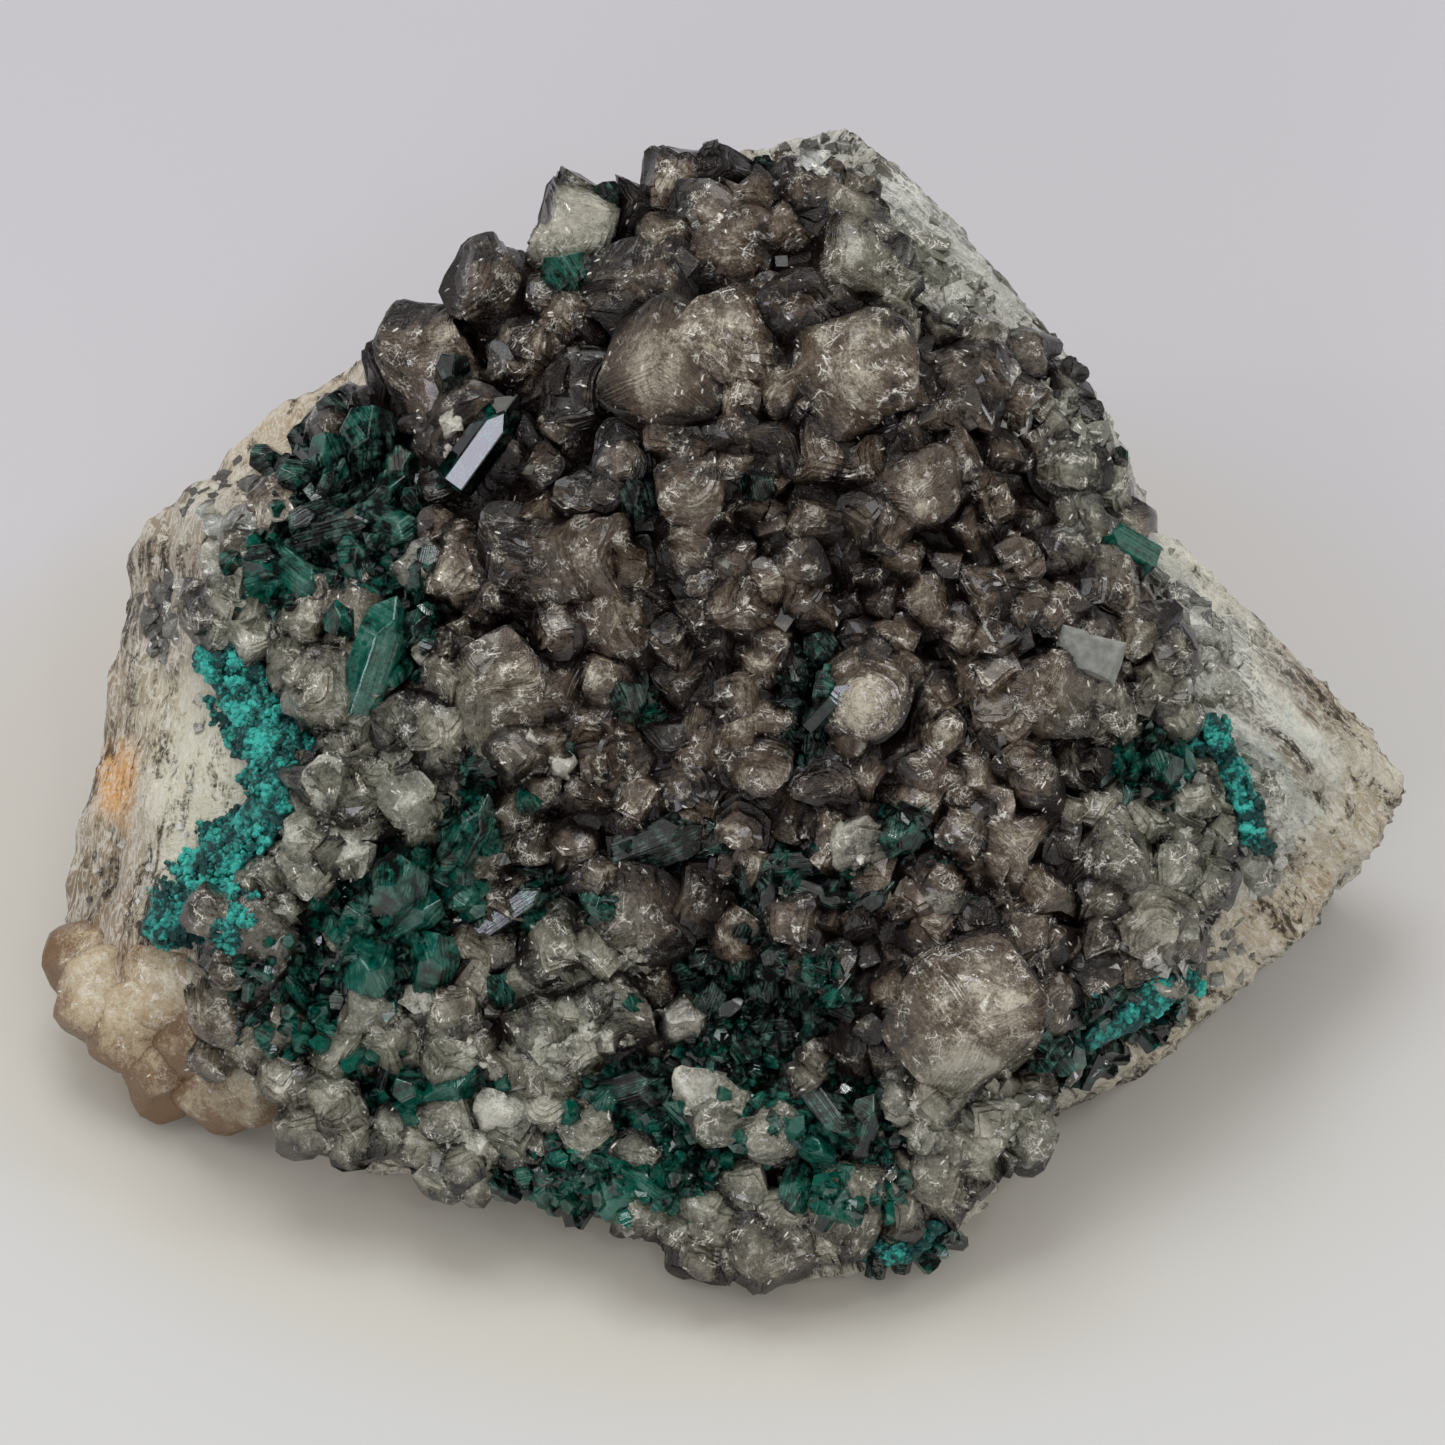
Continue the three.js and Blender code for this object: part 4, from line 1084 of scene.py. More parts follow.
# %% [markdown]
# ## Dioptase masters
#
# Dioptase grows as six-sided prisms, closed by three flat faces. A six-sided plate is drawn up into a prism,
# and three slanting cuts make the tip, as a lapidary would make it. The listed prisms have narrow bevels
# along their edges, which catch the light. The sprigs of the carpets are too small to need them.
# %% Prism and sprig
TIP_SLANT = 38  # degrees between a face of the tip and the flat


def prism(bevel=0.0):
    """Its half width and half height are 1 before the bevel, which is in the same measure."""
    piece = start(
        bpy.ops.mesh.primitive_circle_add, vertices=6, radius=1, fill_type="NGON", location=(0, 0, -1),
        rotation=(0, 0, math.radians(30)),
    )
    bpy.ops.object.mode_set(mode="EDIT")
    bpy.ops.mesh.select_all(action="SELECT")
    bpy.ops.mesh.extrude_region_move(TRANSFORM_OT_translate={"value": (0, 0, 2)})
    for side in range(3):
        turn = math.radians(side * 120 + 30)
        cut = Vector((math.cos(turn), math.sin(turn), 0)) * math.sin(math.radians(TIP_SLANT))
        cut.z = math.cos(math.radians(TIP_SLANT))
        bpy.ops.mesh.select_all(action="SELECT")
        bpy.ops.mesh.bisect(plane_co=(0, 0, 0.99), plane_no=cut, use_fill=True, clear_outer=True)
    bpy.ops.mesh.select_all(action="SELECT")
    bpy.ops.mesh.normals_make_consistent(inside=False)
    bpy.ops.object.mode_set(mode="OBJECT")
    if bevel:
        apply_modifier(piece, "BEVEL", width=bevel, segments=2, limit_method="ANGLE", angle_limit=math.radians(30))
    return lift(piece, stretch=False)


PRISM, SPRIG = prism(bevel=0.07), prism()
print("triangles of a prism and of a sprig:", (PRISM[2] - 2).sum(), (SPRIG[2] - 2).sum())

# %% [markdown]
# ## Where the dioptase stands
#
# Each node of the frame is a crystal or a group of them. Its rows here are the ones that it was made from,
# with more small prisms beside them.
# %% Survey of the dioptase
DIOPTASES = {  # grid column, grid row, width, height in mm, degrees round, rise
    "dioptase_hero": [[490, 436, 3.1, 7.4, 54, 12]],
    "dioptase_upper_left": [
        [380, 652, 3.8, 8.8, 71, 13], [361, 572, 2.7, 6.6, 105, 15], [328, 488, 2, 5.8, 60, 30],
        [368, 446, 4.2, 8, 82, 42], [398, 532, 3, 5, 335, 34], [338, 414, 2.8, 5, 120, 48],
        [350, 528, 3.2, 6.6, 14, 24], [306, 442, 2.3, 4.4, 130, 44], [402, 470, 3, 5, 60, 56],
        [416, 630, 2.4, 4, 50, 50], [330, 460, 2.8, 5.4, 100, 40], [388, 492, 2.8, 5, 40, 44],
        [312, 520, 2.6, 4.8, 200, 44], [424, 566, 2.6, 4.6, 20, 40], [346, 612, 2.8, 5, 250, 40],
        [300, 480, 2.4, 4.4, 150, 40], [352, 552, 2.4, 4.4, 300, 40], [415, 505, 2.2, 4, 80, 50],
    ],
    "dioptase_left_pocket": [[270, 566, 3, 5, 165, 36], [306, 580, 2.6, 4.4, 320, 40], [238, 562, 2.2, 3.6, 190, 40]],
    "dioptase_left_edge": [[206, 622, 1.9, 3.2, 320, 40]],
    "dioptase_back_left": [[266, 460, 2.2, 4, 150, 44]],
    "dioptase_ridge": [[568, 280, 3.9, 6, 100, 58]],
    "dioptase_crest": [[609, 199, 2.1, 3.4, 110, 40]],
    "dioptase_on_calcite": [[453, 374, 2.5, 6, 80, 66]],
    "dioptase_bead": [[757, 489, 2.7, 5, 90, 78]],
    "dioptase_right_edge": [[1114, 541, 3.2, 5.0, 150, 34], [1119, 464, 1.4, 3.4, 84, 36]],
    "dioptase_middle_left": [
        [470, 832, 2.9, 6.8, 62, 20], [480, 765, 2.2, 4, 10, 30], [530, 796, 2.2, 3.6, 240, 40],
    ],
    "dioptase_lying": [[521, 902, 2.8, 6.2, 35, 12]],
    "dioptase_shelf": [[556, 738, 2.6, 4, 160, 30]],
    "dioptase_hollow": [[629, 702, 3, 5, 95, 62]],
    "dioptase_niche": [[640, 502, 3, 4.6, 90, 62]],
    "dioptase_fan": [[668, 838, 4, 6, 20, 24], [700, 826, 2.4, 4.6, 10, 20]],
    "dioptase_lower_left": [
        [398, 886, 4.4, 6.4, 60, 50], [436, 958, 3.6, 5.4, 80, 46], [372, 968, 3.6, 5.4, 250, 44],
        [366, 916, 2.6, 4.4, 150, 44], [420, 912, 2.8, 5, 30, 40],
    ],
    "dioptase_lower_left_tip": [[503, 990, 2.6, 4, 90, 54]],
    "dioptase_low_row": [[452, 1084, 3.2, 4.6, 30, 40], [414, 1088, 2.6, 4, 150, 44]],
    "dioptase_low_shelf": [[640, 1086, 3.4, 5, 16, 30], [612, 1096, 2.4, 4, 200, 40]],
    "dioptase_centre_row": [
        [768, 894, 2, 4.6, 84, 30], [800, 862, 2.1, 5.2, 4, 16], [826, 892, 2.3, 5.4, 342, 16],
        [744, 884, 1.6, 3.6, 100, 40], [872, 896, 2.4, 4.6, 36, 30], [790, 884, 1.6, 3.6, 60, 40],
    ],
    "dioptase_centre_right": [[898, 836, 3.1, 4.6, 34, 50], [962, 890, 1.3, 3.6, 332, 24]],
    "dioptase_centre_low": [
        [708, 1000, 2.4, 4, 60, 50], [745, 1042, 2.4, 4, 280, 54], [735, 972, 2, 3.8, 60, 50],
        [764, 996, 2.2, 4, 80, 54], [706, 960, 2, 3.6, 200, 44], [780, 962, 1.8, 3.4, 330, 44],
    ],
    "dioptase_spear": [[830, 1112, 3, 7, 306, 26], [862, 1126, 2.6, 5.8, 72, 22], [812, 1144, 2.2, 4.4, 330, 30]],
    "dioptase_foot": [[798, 1186, 2.8, 4.6, 250, 44]],
    "dioptase_right_low": [[1060, 1046, 2.9, 5.4, 300, 28], [1096, 1032, 2.2, 4.4, 40, 34]],
    "dioptase_right_pocket": [[1160, 772, 2.9, 4.6, 60, 50], [1126, 792, 2.4, 4, 250, 50]],
    "dioptase_dark_pocket": [[818, 734, 2, 5, 250, 40], [796, 706, 1.9, 3.8, 160, 50]],
    "dioptase_peak": [[822, 652, 2.6, 4.4, 110, 50]],
}
print("prisms listed:", sum(len(crystals) for crystals in DIOPTASES.values()))

# %% [markdown]
# ## Dioptase finish
#
# Dioptase is clear emerald green, but so deep in colour that a crystal a few millimetres thick is nearly
# black, and the green shows at its edges and where light comes out. That is plain transmission with
# absorption inside, and a little of its own colour for the flaws. The grooves along a prism are streaks in
# the colour, the gloss and the relief, drawn out along the crystal; the best crystal is nearly free of them.
# %% Dioptase material


def dioptase_finish_of(name, grooved, bright=0.0):
    """How plainly the grooves show, and how much lighter the green is than usual."""
    finish = Finish(name, IOR=1.66, Transmission_Weight=0.6, Coat_Weight=0.1, Coat_Roughness=0.03)
    where = finish.place()
    cloud = finish.noise(where, 0.9, detail=3, rough=0.65)
    shade, relief = finish.mark("shade"), finish.mark("relief")
    around, along = finish.mark("frost"), finish.mark("layer")
    striped = finish.node("ShaderNodeCombineXYZ", {}, {0: around * 5.0, 1: along * 0.12, 2: shade * 7.0})
    stripe = finish.noise(striped, 1.0, detail=3, rough=0.6)
    flaw = finish.noise(where, 2.4, detail=3, rough=0.7, warp=1.0)
    facet = finish.cells(where, 1.5)[1]
    # Painted light and shade: the green is painted lighter in the cool patches, where the lamps reach less, and darker
    # where a point stands low among its neighbours.
    depth = (cloud - 0.5) * 2.6 + (bright - 0.5) + finish.mark("cool") * 0.86 + (facet ** 3) * 0.7
    depth = depth + (shade - 0.5) * 1.2 + relief * 0.22 + (stripe - 0.5) * 2.4 + (flaw - 0.5) * 1.2
    tone = finish.mix(depth.clamp(), paint(0, 8, 9), paint(4, 130, 110))
    pale_line = ((stripe.ridge(16) + flaw.ridge(34) * 0.5) * (cloud - 0.46) * 6.0).clamp()
    tone = finish.mix(pale_line * 0.7 * grooved, tone, paint(170, 216, 202))
    finish.feed(
        Base_Color=tone, Roughness=(0.02 + (stripe - 0.4) * 0.14 * grooved + shade * 0.03).clamp(),
        Normal=finish.bump(stripe + cloud * 0.4, 0.08 * grooved + 0.002, 0.7),
    )
    absorbed = finish.node("ShaderNodeVolumeAbsorption", {}, {"Color": (0.02, 0.72, 0.56, 1), "Density": 900})
    finish.tree.links.new(absorbed.socket, finish.output.inputs["Volume"])
    return finish


dioptase_finish = dioptase_finish_of("dioptase", grooved=0.8)
FINISHES = {
    "dioptase_hero": dioptase_finish_of("clean dioptase", grooved=0.05),
    "dioptase_right_edge": dioptase_finish_of("bright dioptase", grooved=0.3, bright=0.9),
}

# %% [markdown]
# A prism is seated like a calcite. Small ones carpet the hollows between the listed ones, and a few stand
# alone on the calcites.
# %% Dioptase prisms
DIOPTASE_SUNK = 0.22
PRISM_STRAYS = 0.016  # share of its width by which a prism's outline strays


def grow_dioptase(heap, shape, crystal, tree, sunk=DIOPTASE_SUNK, turn=0.0, strays=True):
    """The frost mark of a prism says how far round it a point is."""
    unit = shape[0]
    points = stand(unit, crystal, tree, sunk, turn)
    if strays:
        points = uneven(points, crystal[2], crystal[2] * PRISM_STRAYS, dice.uniform(0, 40))
    rise = (unit[:, 2] + 1) / 2
    around = (unit[:, 0] + 0.6 * unit[:, 1]) * crystal[2] / 2
    heap.add(shape, points, rise, dice.random(), rise * crystal[3], around)


groups = {name: Heap() for name in DIOPTASES}
for name, crystals in DIOPTASES.items():
    for crystal in crystals:
        hero = name == "dioptase_hero"
        turn = 0 if hero else dice.uniform(-0.4, 0.4)
        grow_dioptase(groups[name], PRISM, crystal, GROUND, turn=turn, strays=not hero)

THICKER = 1.9  # how much thicker the carpets are than their counts say
LONERS = [(756, 163), (763, 161), (768, 165), (326, 1022), (330, 1028), (1152, 598), (1158, 604), (545, 445)]
carpet = Heap()
for column, row, across, down, count in CARPETS.values():
    for _ in range(int(count * THICKER)):
        x, y, _ = spread(column, row, across, down)
        width = 0.4 + 1.2 * dice.random() ** 1.5
        crystal = [x, y, width, width * dice.uniform(1.4, 3.2), dice.uniform(0, 360), dice.uniform(10, 85)]
        if on_ground(GROUND, x, y):
            grow_dioptase(carpet, SPRIG, crystal, GROUND, 0.3, dice.uniform(0, 2))
for x, y in LONERS:
    grow_dioptase(carpet, SPRIG, [x, y, 0.9, 1.8, dice.uniform(0, 360), 50], GROUND, 0.1)
print("sprigs:", len(carpet.totals))

# %% [markdown]
# ## White druse
#
# The last mineral to grow was a frosty druse of tiny calcites that powders the hollows and hangs on the
# crystals in knots. A grain is a rounded rhomb of two dozen faces, or a plain one. A knot is a heap of them
# over an oval of the ground, with one or more uneven lobes among them.
# %% Druse knots


def pebble():
    """A cube with its faces cut once and its corners drawn in."""
    piece = start(bpy.ops.mesh.primitive_cube_add, size=2)
    bpy.ops.object.mode_set(mode="EDIT")
    bpy.ops.mesh.subdivide(number_cuts=1)
    bpy.ops.transform.tosphere(value=0.7)
    return finish_master(piece)


def lobe_master(subdivisions):
    """A ball in triangles, for the rounded lobes that many grains make together."""
    piece = start(bpy.ops.mesh.primitive_ico_sphere_add, subdivisions=subdivisions, radius=1)
    bpy.ops.object.mode_set(mode="EDIT")
    return finish_master(piece)


GRAIN = pebble()
LOBE, LUMP = lobe_master(3), lobe_master(4)
KNOTS = [  # grid column, grid row, half width, half height in squares, number of grains
    [326, 696, 34, 36, 90], [242, 606, 34, 24, 60], [340, 790, 40, 30, 90], [326, 848, 46, 32, 110],
    [420, 802, 40, 40, 110], [536, 756, 34, 32, 90], [452, 1000, 50, 36, 120], [470, 1056, 34, 30, 70],
    [562, 1046, 54, 52, 190], [548, 950, 40, 24, 80], [712, 1102, 30, 28, 60],
    [916, 1102, 48, 44, 150], [458, 1160, 48, 28, 100], [340, 1128, 40, 22, 60], [1010, 1118, 50, 36, 110],
    [295, 655, 20, 18, 30], [435, 650, 18, 18, 24], [440, 725, 18, 18, 24], [435, 575, 16, 16, 20],
    [605, 765, 20, 18, 30], [650, 795, 34, 24, 50], [855, 860, 30, 26, 60], [925, 895, 22, 24, 40],
    [640, 955, 40, 14, 60], [645, 1040, 24, 20, 40], [680, 1020, 20, 16, 26], [1155, 985, 14, 20, 26],
    [440, 430, 20, 40, 70], [563, 920, 8, 8, 6], [235, 570, 24, 14, 30], [500, 1100, 40, 30, 60],
    [390, 1010, 40, 30, 50],
]
druse = Heap()
KNOT_HEIGHT = 1.1  # how far the middle of a knot stands over its edge
KNOT_LUMP, KNOT_UNEVEN = 16, 1.2  # size in squares of the lumps of a knot, and their height in millimetres
THICKLY = 2  # how much thicker the knots are than their counts say
LOBED = 0.02  # lobes for each grain
CORES = 0.3  # grains that are large and lie low, under the others, as a share of the count
HOLE = -0.35  # where the lumps are lower than this, a knot has a hole


def add_grain(heap, x, y, size, pale, lifted=0.0, shapes=(GRAIN, RHOMB, RHOMB), sunk=0.35):
    """One grain of a master picked at random, lifted so many millimetres off its seat."""
    shape = dice.choice(shapes)
    flat = dice.uniform(0.55, 1.1)
    crystal = [x, y, size, size * flat, dice.uniform(0, 360), dice.uniform(15, 90)]
    points = stand(shape[0], crystal, GROUND, sunk, dice.uniform(0, 2)) + OUT * lifted
    points = uneven(points, size * 0.5, size * 0.18, dice.uniform(0, 9))
    heap.add(shape, points, (shape[0][:, 2] + 1) / 2, dice.random(), 0.0, pale)


for column, row, across, down, count in KNOTS:
    for _ in range(1 + int(count * LOBED)):
        x, y, _ = spread(column, row, across * 0.7, down * 0.7)
        if on_ground(GROUND, x, y):
            size = dice.uniform(1.8, 4.2)
            crystal = [x, y, size, size * dice.uniform(0.5, 0.8), dice.uniform(0, 360), dice.uniform(60, 85)]
            points, seed = stand(LOBE[0], crystal, GROUND, 0.15, root=0), dice.uniform(0, 40)
            points = uneven(uneven(points, size * 0.36, size * 0.25, seed), 0.5, 0.24, seed)
            druse.add(LOBE, points, 1.0, dice.random(), 0.0, dice.uniform(0.1, 0.6))
    for i in range(count * THICKLY):
        x, y, reach = spread(column, row, across, down)
        lump = noise.noise(Vector((x, y, 0)) / KNOT_LUMP) * KNOT_UNEVEN
        lifted = (1 - reach ** 2) * KNOT_HEIGHT + lump
        size = dice.uniform(0.3, 0.95) * (1.15 - 0.4 * reach)
        if i < count * CORES:
            size, lifted = size * 2 + 0.4, lifted - 0.7
        if on_ground(GROUND, x, y) and lump > HOLE:
            add_grain(druse, x, y, size, 0.75 + lump * 0.4, lifted)
print("grains and lobes of druse:", len(druse.totals))

# %% [markdown]
# Broken rhombs of calcite also stand on the bare flanks, where the rock was split through its grain. They
# are half sunk, so that only flat faces and sharp edges show, and those by the crust are the largest.
# %% Rhombs on the bare rock
SCATTERS = [  # grid column, grid row, half width, half height in squares, number, smallest, largest in mm, pale
    [1175, 680, 50, 80, 34, 1.8, 3.6, 0.6], [1235, 800, 45, 80, 34, 1.4, 3.4, 0.7],
    [1180, 700, 70, 90, 70, 0.6, 1.8, 0.8], [1230, 840, 60, 60, 70, 0.5, 1.6, 0.8],
    [1150, 600, 36, 60, 50, 0.7, 2.2, 0.7], [960, 230, 70, 90, 110, 1.0, 3.4, 0.5],
    [1050, 380, 50, 90, 90, 1.0, 3.4, 0.5], [840, 150, 70, 30, 50, 0.8, 2.4, 0.4],
    [1140, 950, 60, 60, 80, 1.0, 3.4, 0.5], [1200, 950, 60, 40, 60, 0.6, 2.4, 0.5],
    [230, 700, 40, 60, 40, 0.5, 1.3, 0.8], [170, 620, 45, 45, 60, 0.8, 2.6, 0.3],
    [240, 500, 60, 40, 60, 0.8, 2.4, 0.5], [140, 850, 60, 120, 110, 0.3, 0.8, 0.9],
    [310, 1110, 60, 24, 60, 1.0, 3.0, 0.6],
    [700, 1240, 120, 26, 80, 1.0, 3.0, 0.6], [1020, 1150, 50, 40, 70, 0.8, 2.6, 0.7],
    [380, 1150, 90, 26, 50, 1.0, 2.6, 0.4], [560, 1200, 90, 26, 20, 0.8, 1.5, 0.2],
]
LARGE_RHOMB = 1.6  # millimetres
INSIDE, INSIDE_SMALL = 26, 6  # large and small rhombs stay this many squares off the outline
ALL_TURQUOISE = sum(TURQUOISES.values(), [])
rhombs = Heap()
for column, row, across, down, count, least, most, pale in SCATTERS:
    for _ in range(count):
        x, y, _ = spread(column, row, across, down)
        size = dice.uniform(least, most)
        margin = INSIDE if size > LARGE_RHOMB else INSIDE_SMALL
        if in_turquoise(x, y, ALL_TURQUOISE):
            continue
        if all(on_ground(GROUND, x + margin * i, y + margin * j) for i in (-1, 1) for j in (-1, 1)):
            shapes, sunk = ((SEED, CHIP), 0.8) if size > LARGE_RHOMB else ((RHOMB,), 0.6)
            add_grain(rhombs, x, y, size, pale + dice.uniform(-0.2, 0.2), 0, shapes, sunk)
print("rhombs on the rock:", len(rhombs.totals))

frosted = calcite_finish("frosted calcite", paint(92, 91, 87), paint(170, 173, 168), paint(238, 239, 236), 0.12, 2.2)
druse_finish = calcite_finish("white druse", paint(48, 50, 44), paint(152, 150, 138), paint(230, 229, 219), 0.12)

# %% [markdown]
# ## Honey lumps
#
# At the lower left the rock ends in smooth, rounded masses of honey calcite that hang over the table. They
# are lobes like those of the druse, larger and clearer, and run into each other. One dark bead of the crust
# sits alone on the lower edge.
# %% Honey lumps
LUMPS = [  # grid column, grid row, width, height in mm, degrees round, rise, pale
    [100, 1000, 5.6, 4.4, 200, 60, 0.8], [84, 962, 4.4, 4, 190, 60, 0.6], [132, 1040, 5, 4.4, 220, 60, 0.5],
    [165, 988, 5.4, 3.4, 200, 70, 0.0], [196, 1040, 4.8, 3.6, 230, 60, 0.1], [160, 1078, 4.4, 4, 240, 50, 0.3],
    [216, 1096, 4.6, 4, 250, 50, 0.2], [256, 1080, 4.8, 3.6, 250, 60, 0.3],
    [268, 1116, 4.2, 3.4, 250, 50, 0.4], [140, 1010, 4.2, 4.2, 210, 60, 0.7], [180, 1100, 3.6, 3.4, 240, 50, 0.5],
    [232, 1048, 4.2, 3.4, 230, 60, 0.3], [300, 1128, 3.6, 3, 250, 50, 0.5],
]
LUMPS_STOUT, LUMPS_SUNK = 1.32, 0.58
honey_lumps, bead = Heap(), Heap()
for lump in LUMPS:
    if on_ground(ROCK, *lump[:2]):
        width = lump[2] * LUMPS_STOUT
        points = stand(LUMP[0], [*lump[:2], width, *lump[3:]], ROCK, LUMPS_SUNK, root=0)
        seed = dice.uniform(0, 40)
        points = uneven(uneven(points, width * 0.45, width * 0.13, seed), 0.9, 0.16, seed)
        honey_lumps.add(LUMP, points, 1.0, dice.random(), 0.0, 0.2 + lump[6] * 0.5)
points = stand(LUMP[0], [393, 1133, 2.7, 2.4, 250, 60], GROUND, 0.3, root=0)
bead.add(LUMP, uneven(points, 0.8, 0.4))
print("honey lumps:", len(honey_lumps.totals))
honey = calcite_finish("honey calcite", paint(130, 100, 70), paint(206, 186, 152), paint(246, 240, 220), 0.25)

# %% [markdown]
# ## Turquoise crusts
#
# The bright bands are crusts of copper micro-crystals, too small to tell apart: a sugary skin. The frame's
# thin solid is remeshed for the skin, and a few thousand grains are strewn over it.
# %% Turquoise
turquoise_finish = Finish("turquoise crust", Roughness=0.5, Coat_Weight=0.1, Coat_Roughness=0.2)
where = turquoise_finish.place()
cloud = turquoise_finish.noise(where, 0.7, detail=3, rough=0.65)
grain = turquoise_finish.noise(where, 4.0, detail=3, rough=0.7)
shade = turquoise_finish.mark("shade")
light = ((cloud - 0.5) * 3.6 + 0.4 + (grain - 0.5) * 2.0 + (shade - 0.5) * 1.3).clamp()
tone = turquoise_finish.mix(light, paint(0, 62, 62), paint(58, 188, 176))
turquoise_finish.feed(Base_Color=tone, Normal=turquoise_finish.bump(grain, 0.2, 0.8))

POWDER = 0.42  # grains for each square of an oval's half width times half height
POWDERED = 1.15  # the grains reach so many times as far as the oval
SKIN_VOXEL, TURQUOISE_LIFT = 0.35, 0.35  # millimetres
turquoise_pieces = []
for name, ovals in TURQUOISES.items():
    skin = copy_of(name, name + "_skin")
    apply_modifier(skin, "REMESH", mode="VOXEL", voxel_size=SKIN_VOXEL * MM)
    push(skin, "CLOUDS", 0.8, 0.9, noise_depth=2, **PERLIN)
    tree = BVHTree.FromPolygons([v.co / MM for v in skin.data.vertices], [f.vertices for f in skin.data.polygons])
    grains = Heap()
    for column, row, across, down in ovals:
        for _ in range(int(across * down * POWDER)):
            x, y, reach = spread(column, row, across * POWDERED, down * POWDERED)
            size = dice.uniform(0.22, 0.66) * (1.1 - 0.4 * reach)
            patchy = noise.noise(Vector((x, y, 5)) / 14) + 0.55 - reach ** 3
            carrier = tree if on_ground(tree, x, y) else GROUND
            if patchy > 0 and on_ground(carrier, x, y):
                crystal = [x, y, size, size * 1.2, dice.uniform(0, 360), dice.uniform(0, 90)]
                points = stand(SPRIG[0], crystal, carrier, 0.4) + OUT * TURQUOISE_LIFT
                shade = 0.5 + noise.noise(Vector((x, y, 9)) / 20) + dice.uniform(-0.3, 0.3)
                grains.add(SPRIG, points, 1.0, shade)
    paint_mark(skin, "shade", np.full(len(skin.data.vertices), 0.3))
    dress(skin, turquoise_finish, ROCK_ANGLE)
    turquoise_pieces.append((name, skin, grains.build(name + "_grains", turquoise_finish, GRAIN_ANGLE)))

# %% [markdown]
# ## Build the heaps and shade the gaps
#
# A gap between crystals is dark because little light reaches it and less comes back. Besides the shadows
# that the renderer finds, each point is marked with its relief: how far it stands over the average height
# round it, and the finishes paint low points darker by it, as painted shade. The average comes from a
# coarse height map of all the crystals, blurred over a few millimetres.
# %% Relief
HEAPS = {
    "calcites_upper": (upper_calcites, smoky, CRYSTAL_ANGLE),
    "calcites_lower": (lower_calcites, smoky, CRYSTAL_ANGLE),
    "calcites_small": (small_calcites, smoky, CRYSTAL_ANGLE),
    "druse": (druse, druse_finish, LUMP_ANGLE),
    "flank_rhombs": (rhombs, frosted, RHOMB_ANGLE),
    "honey_lumps": (honey_lumps, honey, ROCK_ANGLE),
    "dark_bead": (bead, floor_finish, ROCK_ANGLE),
    "dioptase_carpet": (carpet, dioptase_finish, GRAIN_ANGLE),
}
pieces = {name: heap.build(name, finish, angle) for name, (heap, finish, angle) in HEAPS.items()}
for name, heap in groups.items():
    pieces[name] = heap.build(name + "_crystals", FINISHES.get(name, dioptase_finish), FACET_ANGLE)
dress(rock, rock_finish, ROCK_ANGLE)
dress(crust, floor_finish, ROCK_ANGLE)

CELL, CELLS = 0.45, 260  # side of a cell of the height map in millimetres, and cells each way
BLUR, ROCK_BLUR = 5, 2  # cells each way
BACK = -0.05  # a corner whose normal leans away from the grid by more than this faces to the back


def cell_of(points):
    """The cells over some points, and how far out the points are."""
    columns, rows, out = on_grid(points)
    u = ((columns - GRID_MIDDLE) * GRID_MM / CELL + CELLS / 2).astype(int)
    v = ((rows - GRID_MIDDLE) * GRID_MM / CELL + CELLS / 2).astype(int)
    return np.clip(u, 0, CELLS - 1), np.clip(v, 0, CELLS - 1), out


def tops_of(blended):
    """Height of the tops of some pieces in each cell, or -1."""
    heights = np.full((CELLS, CELLS), -1.0)
    for piece in blended:
        u, v, out = cell_of(corners_of(piece))
        np.maximum.at(heights, (u, v), out)
    return heights


def mean_level(blended, blur):
    """Blurred height of the tops of some pieces."""
    heights = tops_of(blended)
    known = (heights > 0).astype(float)
    level = np.where(heights > 0, heights, 0)
    for _ in range(3):
        for axis in (0, 1):
            level = sum(np.roll(level, k, axis) for k in range(-blur, blur + 1))
            known = sum(np.roll(known, k, axis) for k in range(-blur, blur + 1))
    return level / np.maximum(known, 1e-9)


stone = [crust, *pieces.values()]  # all but the rock
level = mean_level([rock, *stone], BLUR)


def turned_away(piece):
    """Which corners face to the back, where a height over the face says nothing."""
    normals = np.empty(len(piece.data.vertices) * 3, np.float32)
    piece.data.vertices.foreach_get("normal", normals)
    return normals.reshape(-1, 3) @ OUT < BACK


MOST_RELIEF, ROCK_GAIN = 4, 3  # the mark stops at the first both ways; the rock's is made stronger by the second
ROCK_BACK, STONE_BACK = -0.8, -0.6  # relief of what faces to the back
u, v, out = cell_of(corners_of(rock))
relief = np.clip((out - mean_level([rock], ROCK_BLUR)[u, v]) * ROCK_GAIN, -MOST_RELIEF, MOST_RELIEF)
paint_mark(rock, "relief", np.where(turned_away(rock), ROCK_BACK, relief))
# The cool patches are also painted lighter, as painted light that eases the painted shade there.
COOL = [  # where the calcite is greyer and greener: column, row, half width, half height in squares
    (600, 1160, 420, 110), (330, 800, 170, 200), (1000, 1130, 110, 70), (380, 1060, 140, 80), (1200, 800, 120, 160),
    (250, 640, 80, 90), (560, 1000, 90, 110), (960, 240, 120, 90), (1095, 450, 50, 120), (575, 225, 60, 60),
]
on_rock = [pieces["flank_rhombs"], pieces["honey_lumps"]]
rock_level = mean_level([rock, *on_rock], BLUR)
for piece in stone:
    u, v, out = cell_of(corners_of(piece))
    raised = np.clip(out - (rock_level if piece in on_rock else level)[u, v], -MOST_RELIEF, MOST_RELIEF)
    paint_mark(piece, "relief", np.where(turned_away(piece), np.maximum(raised, STONE_BACK), raised))
    paint_ovals(piece, "cool", COOL)

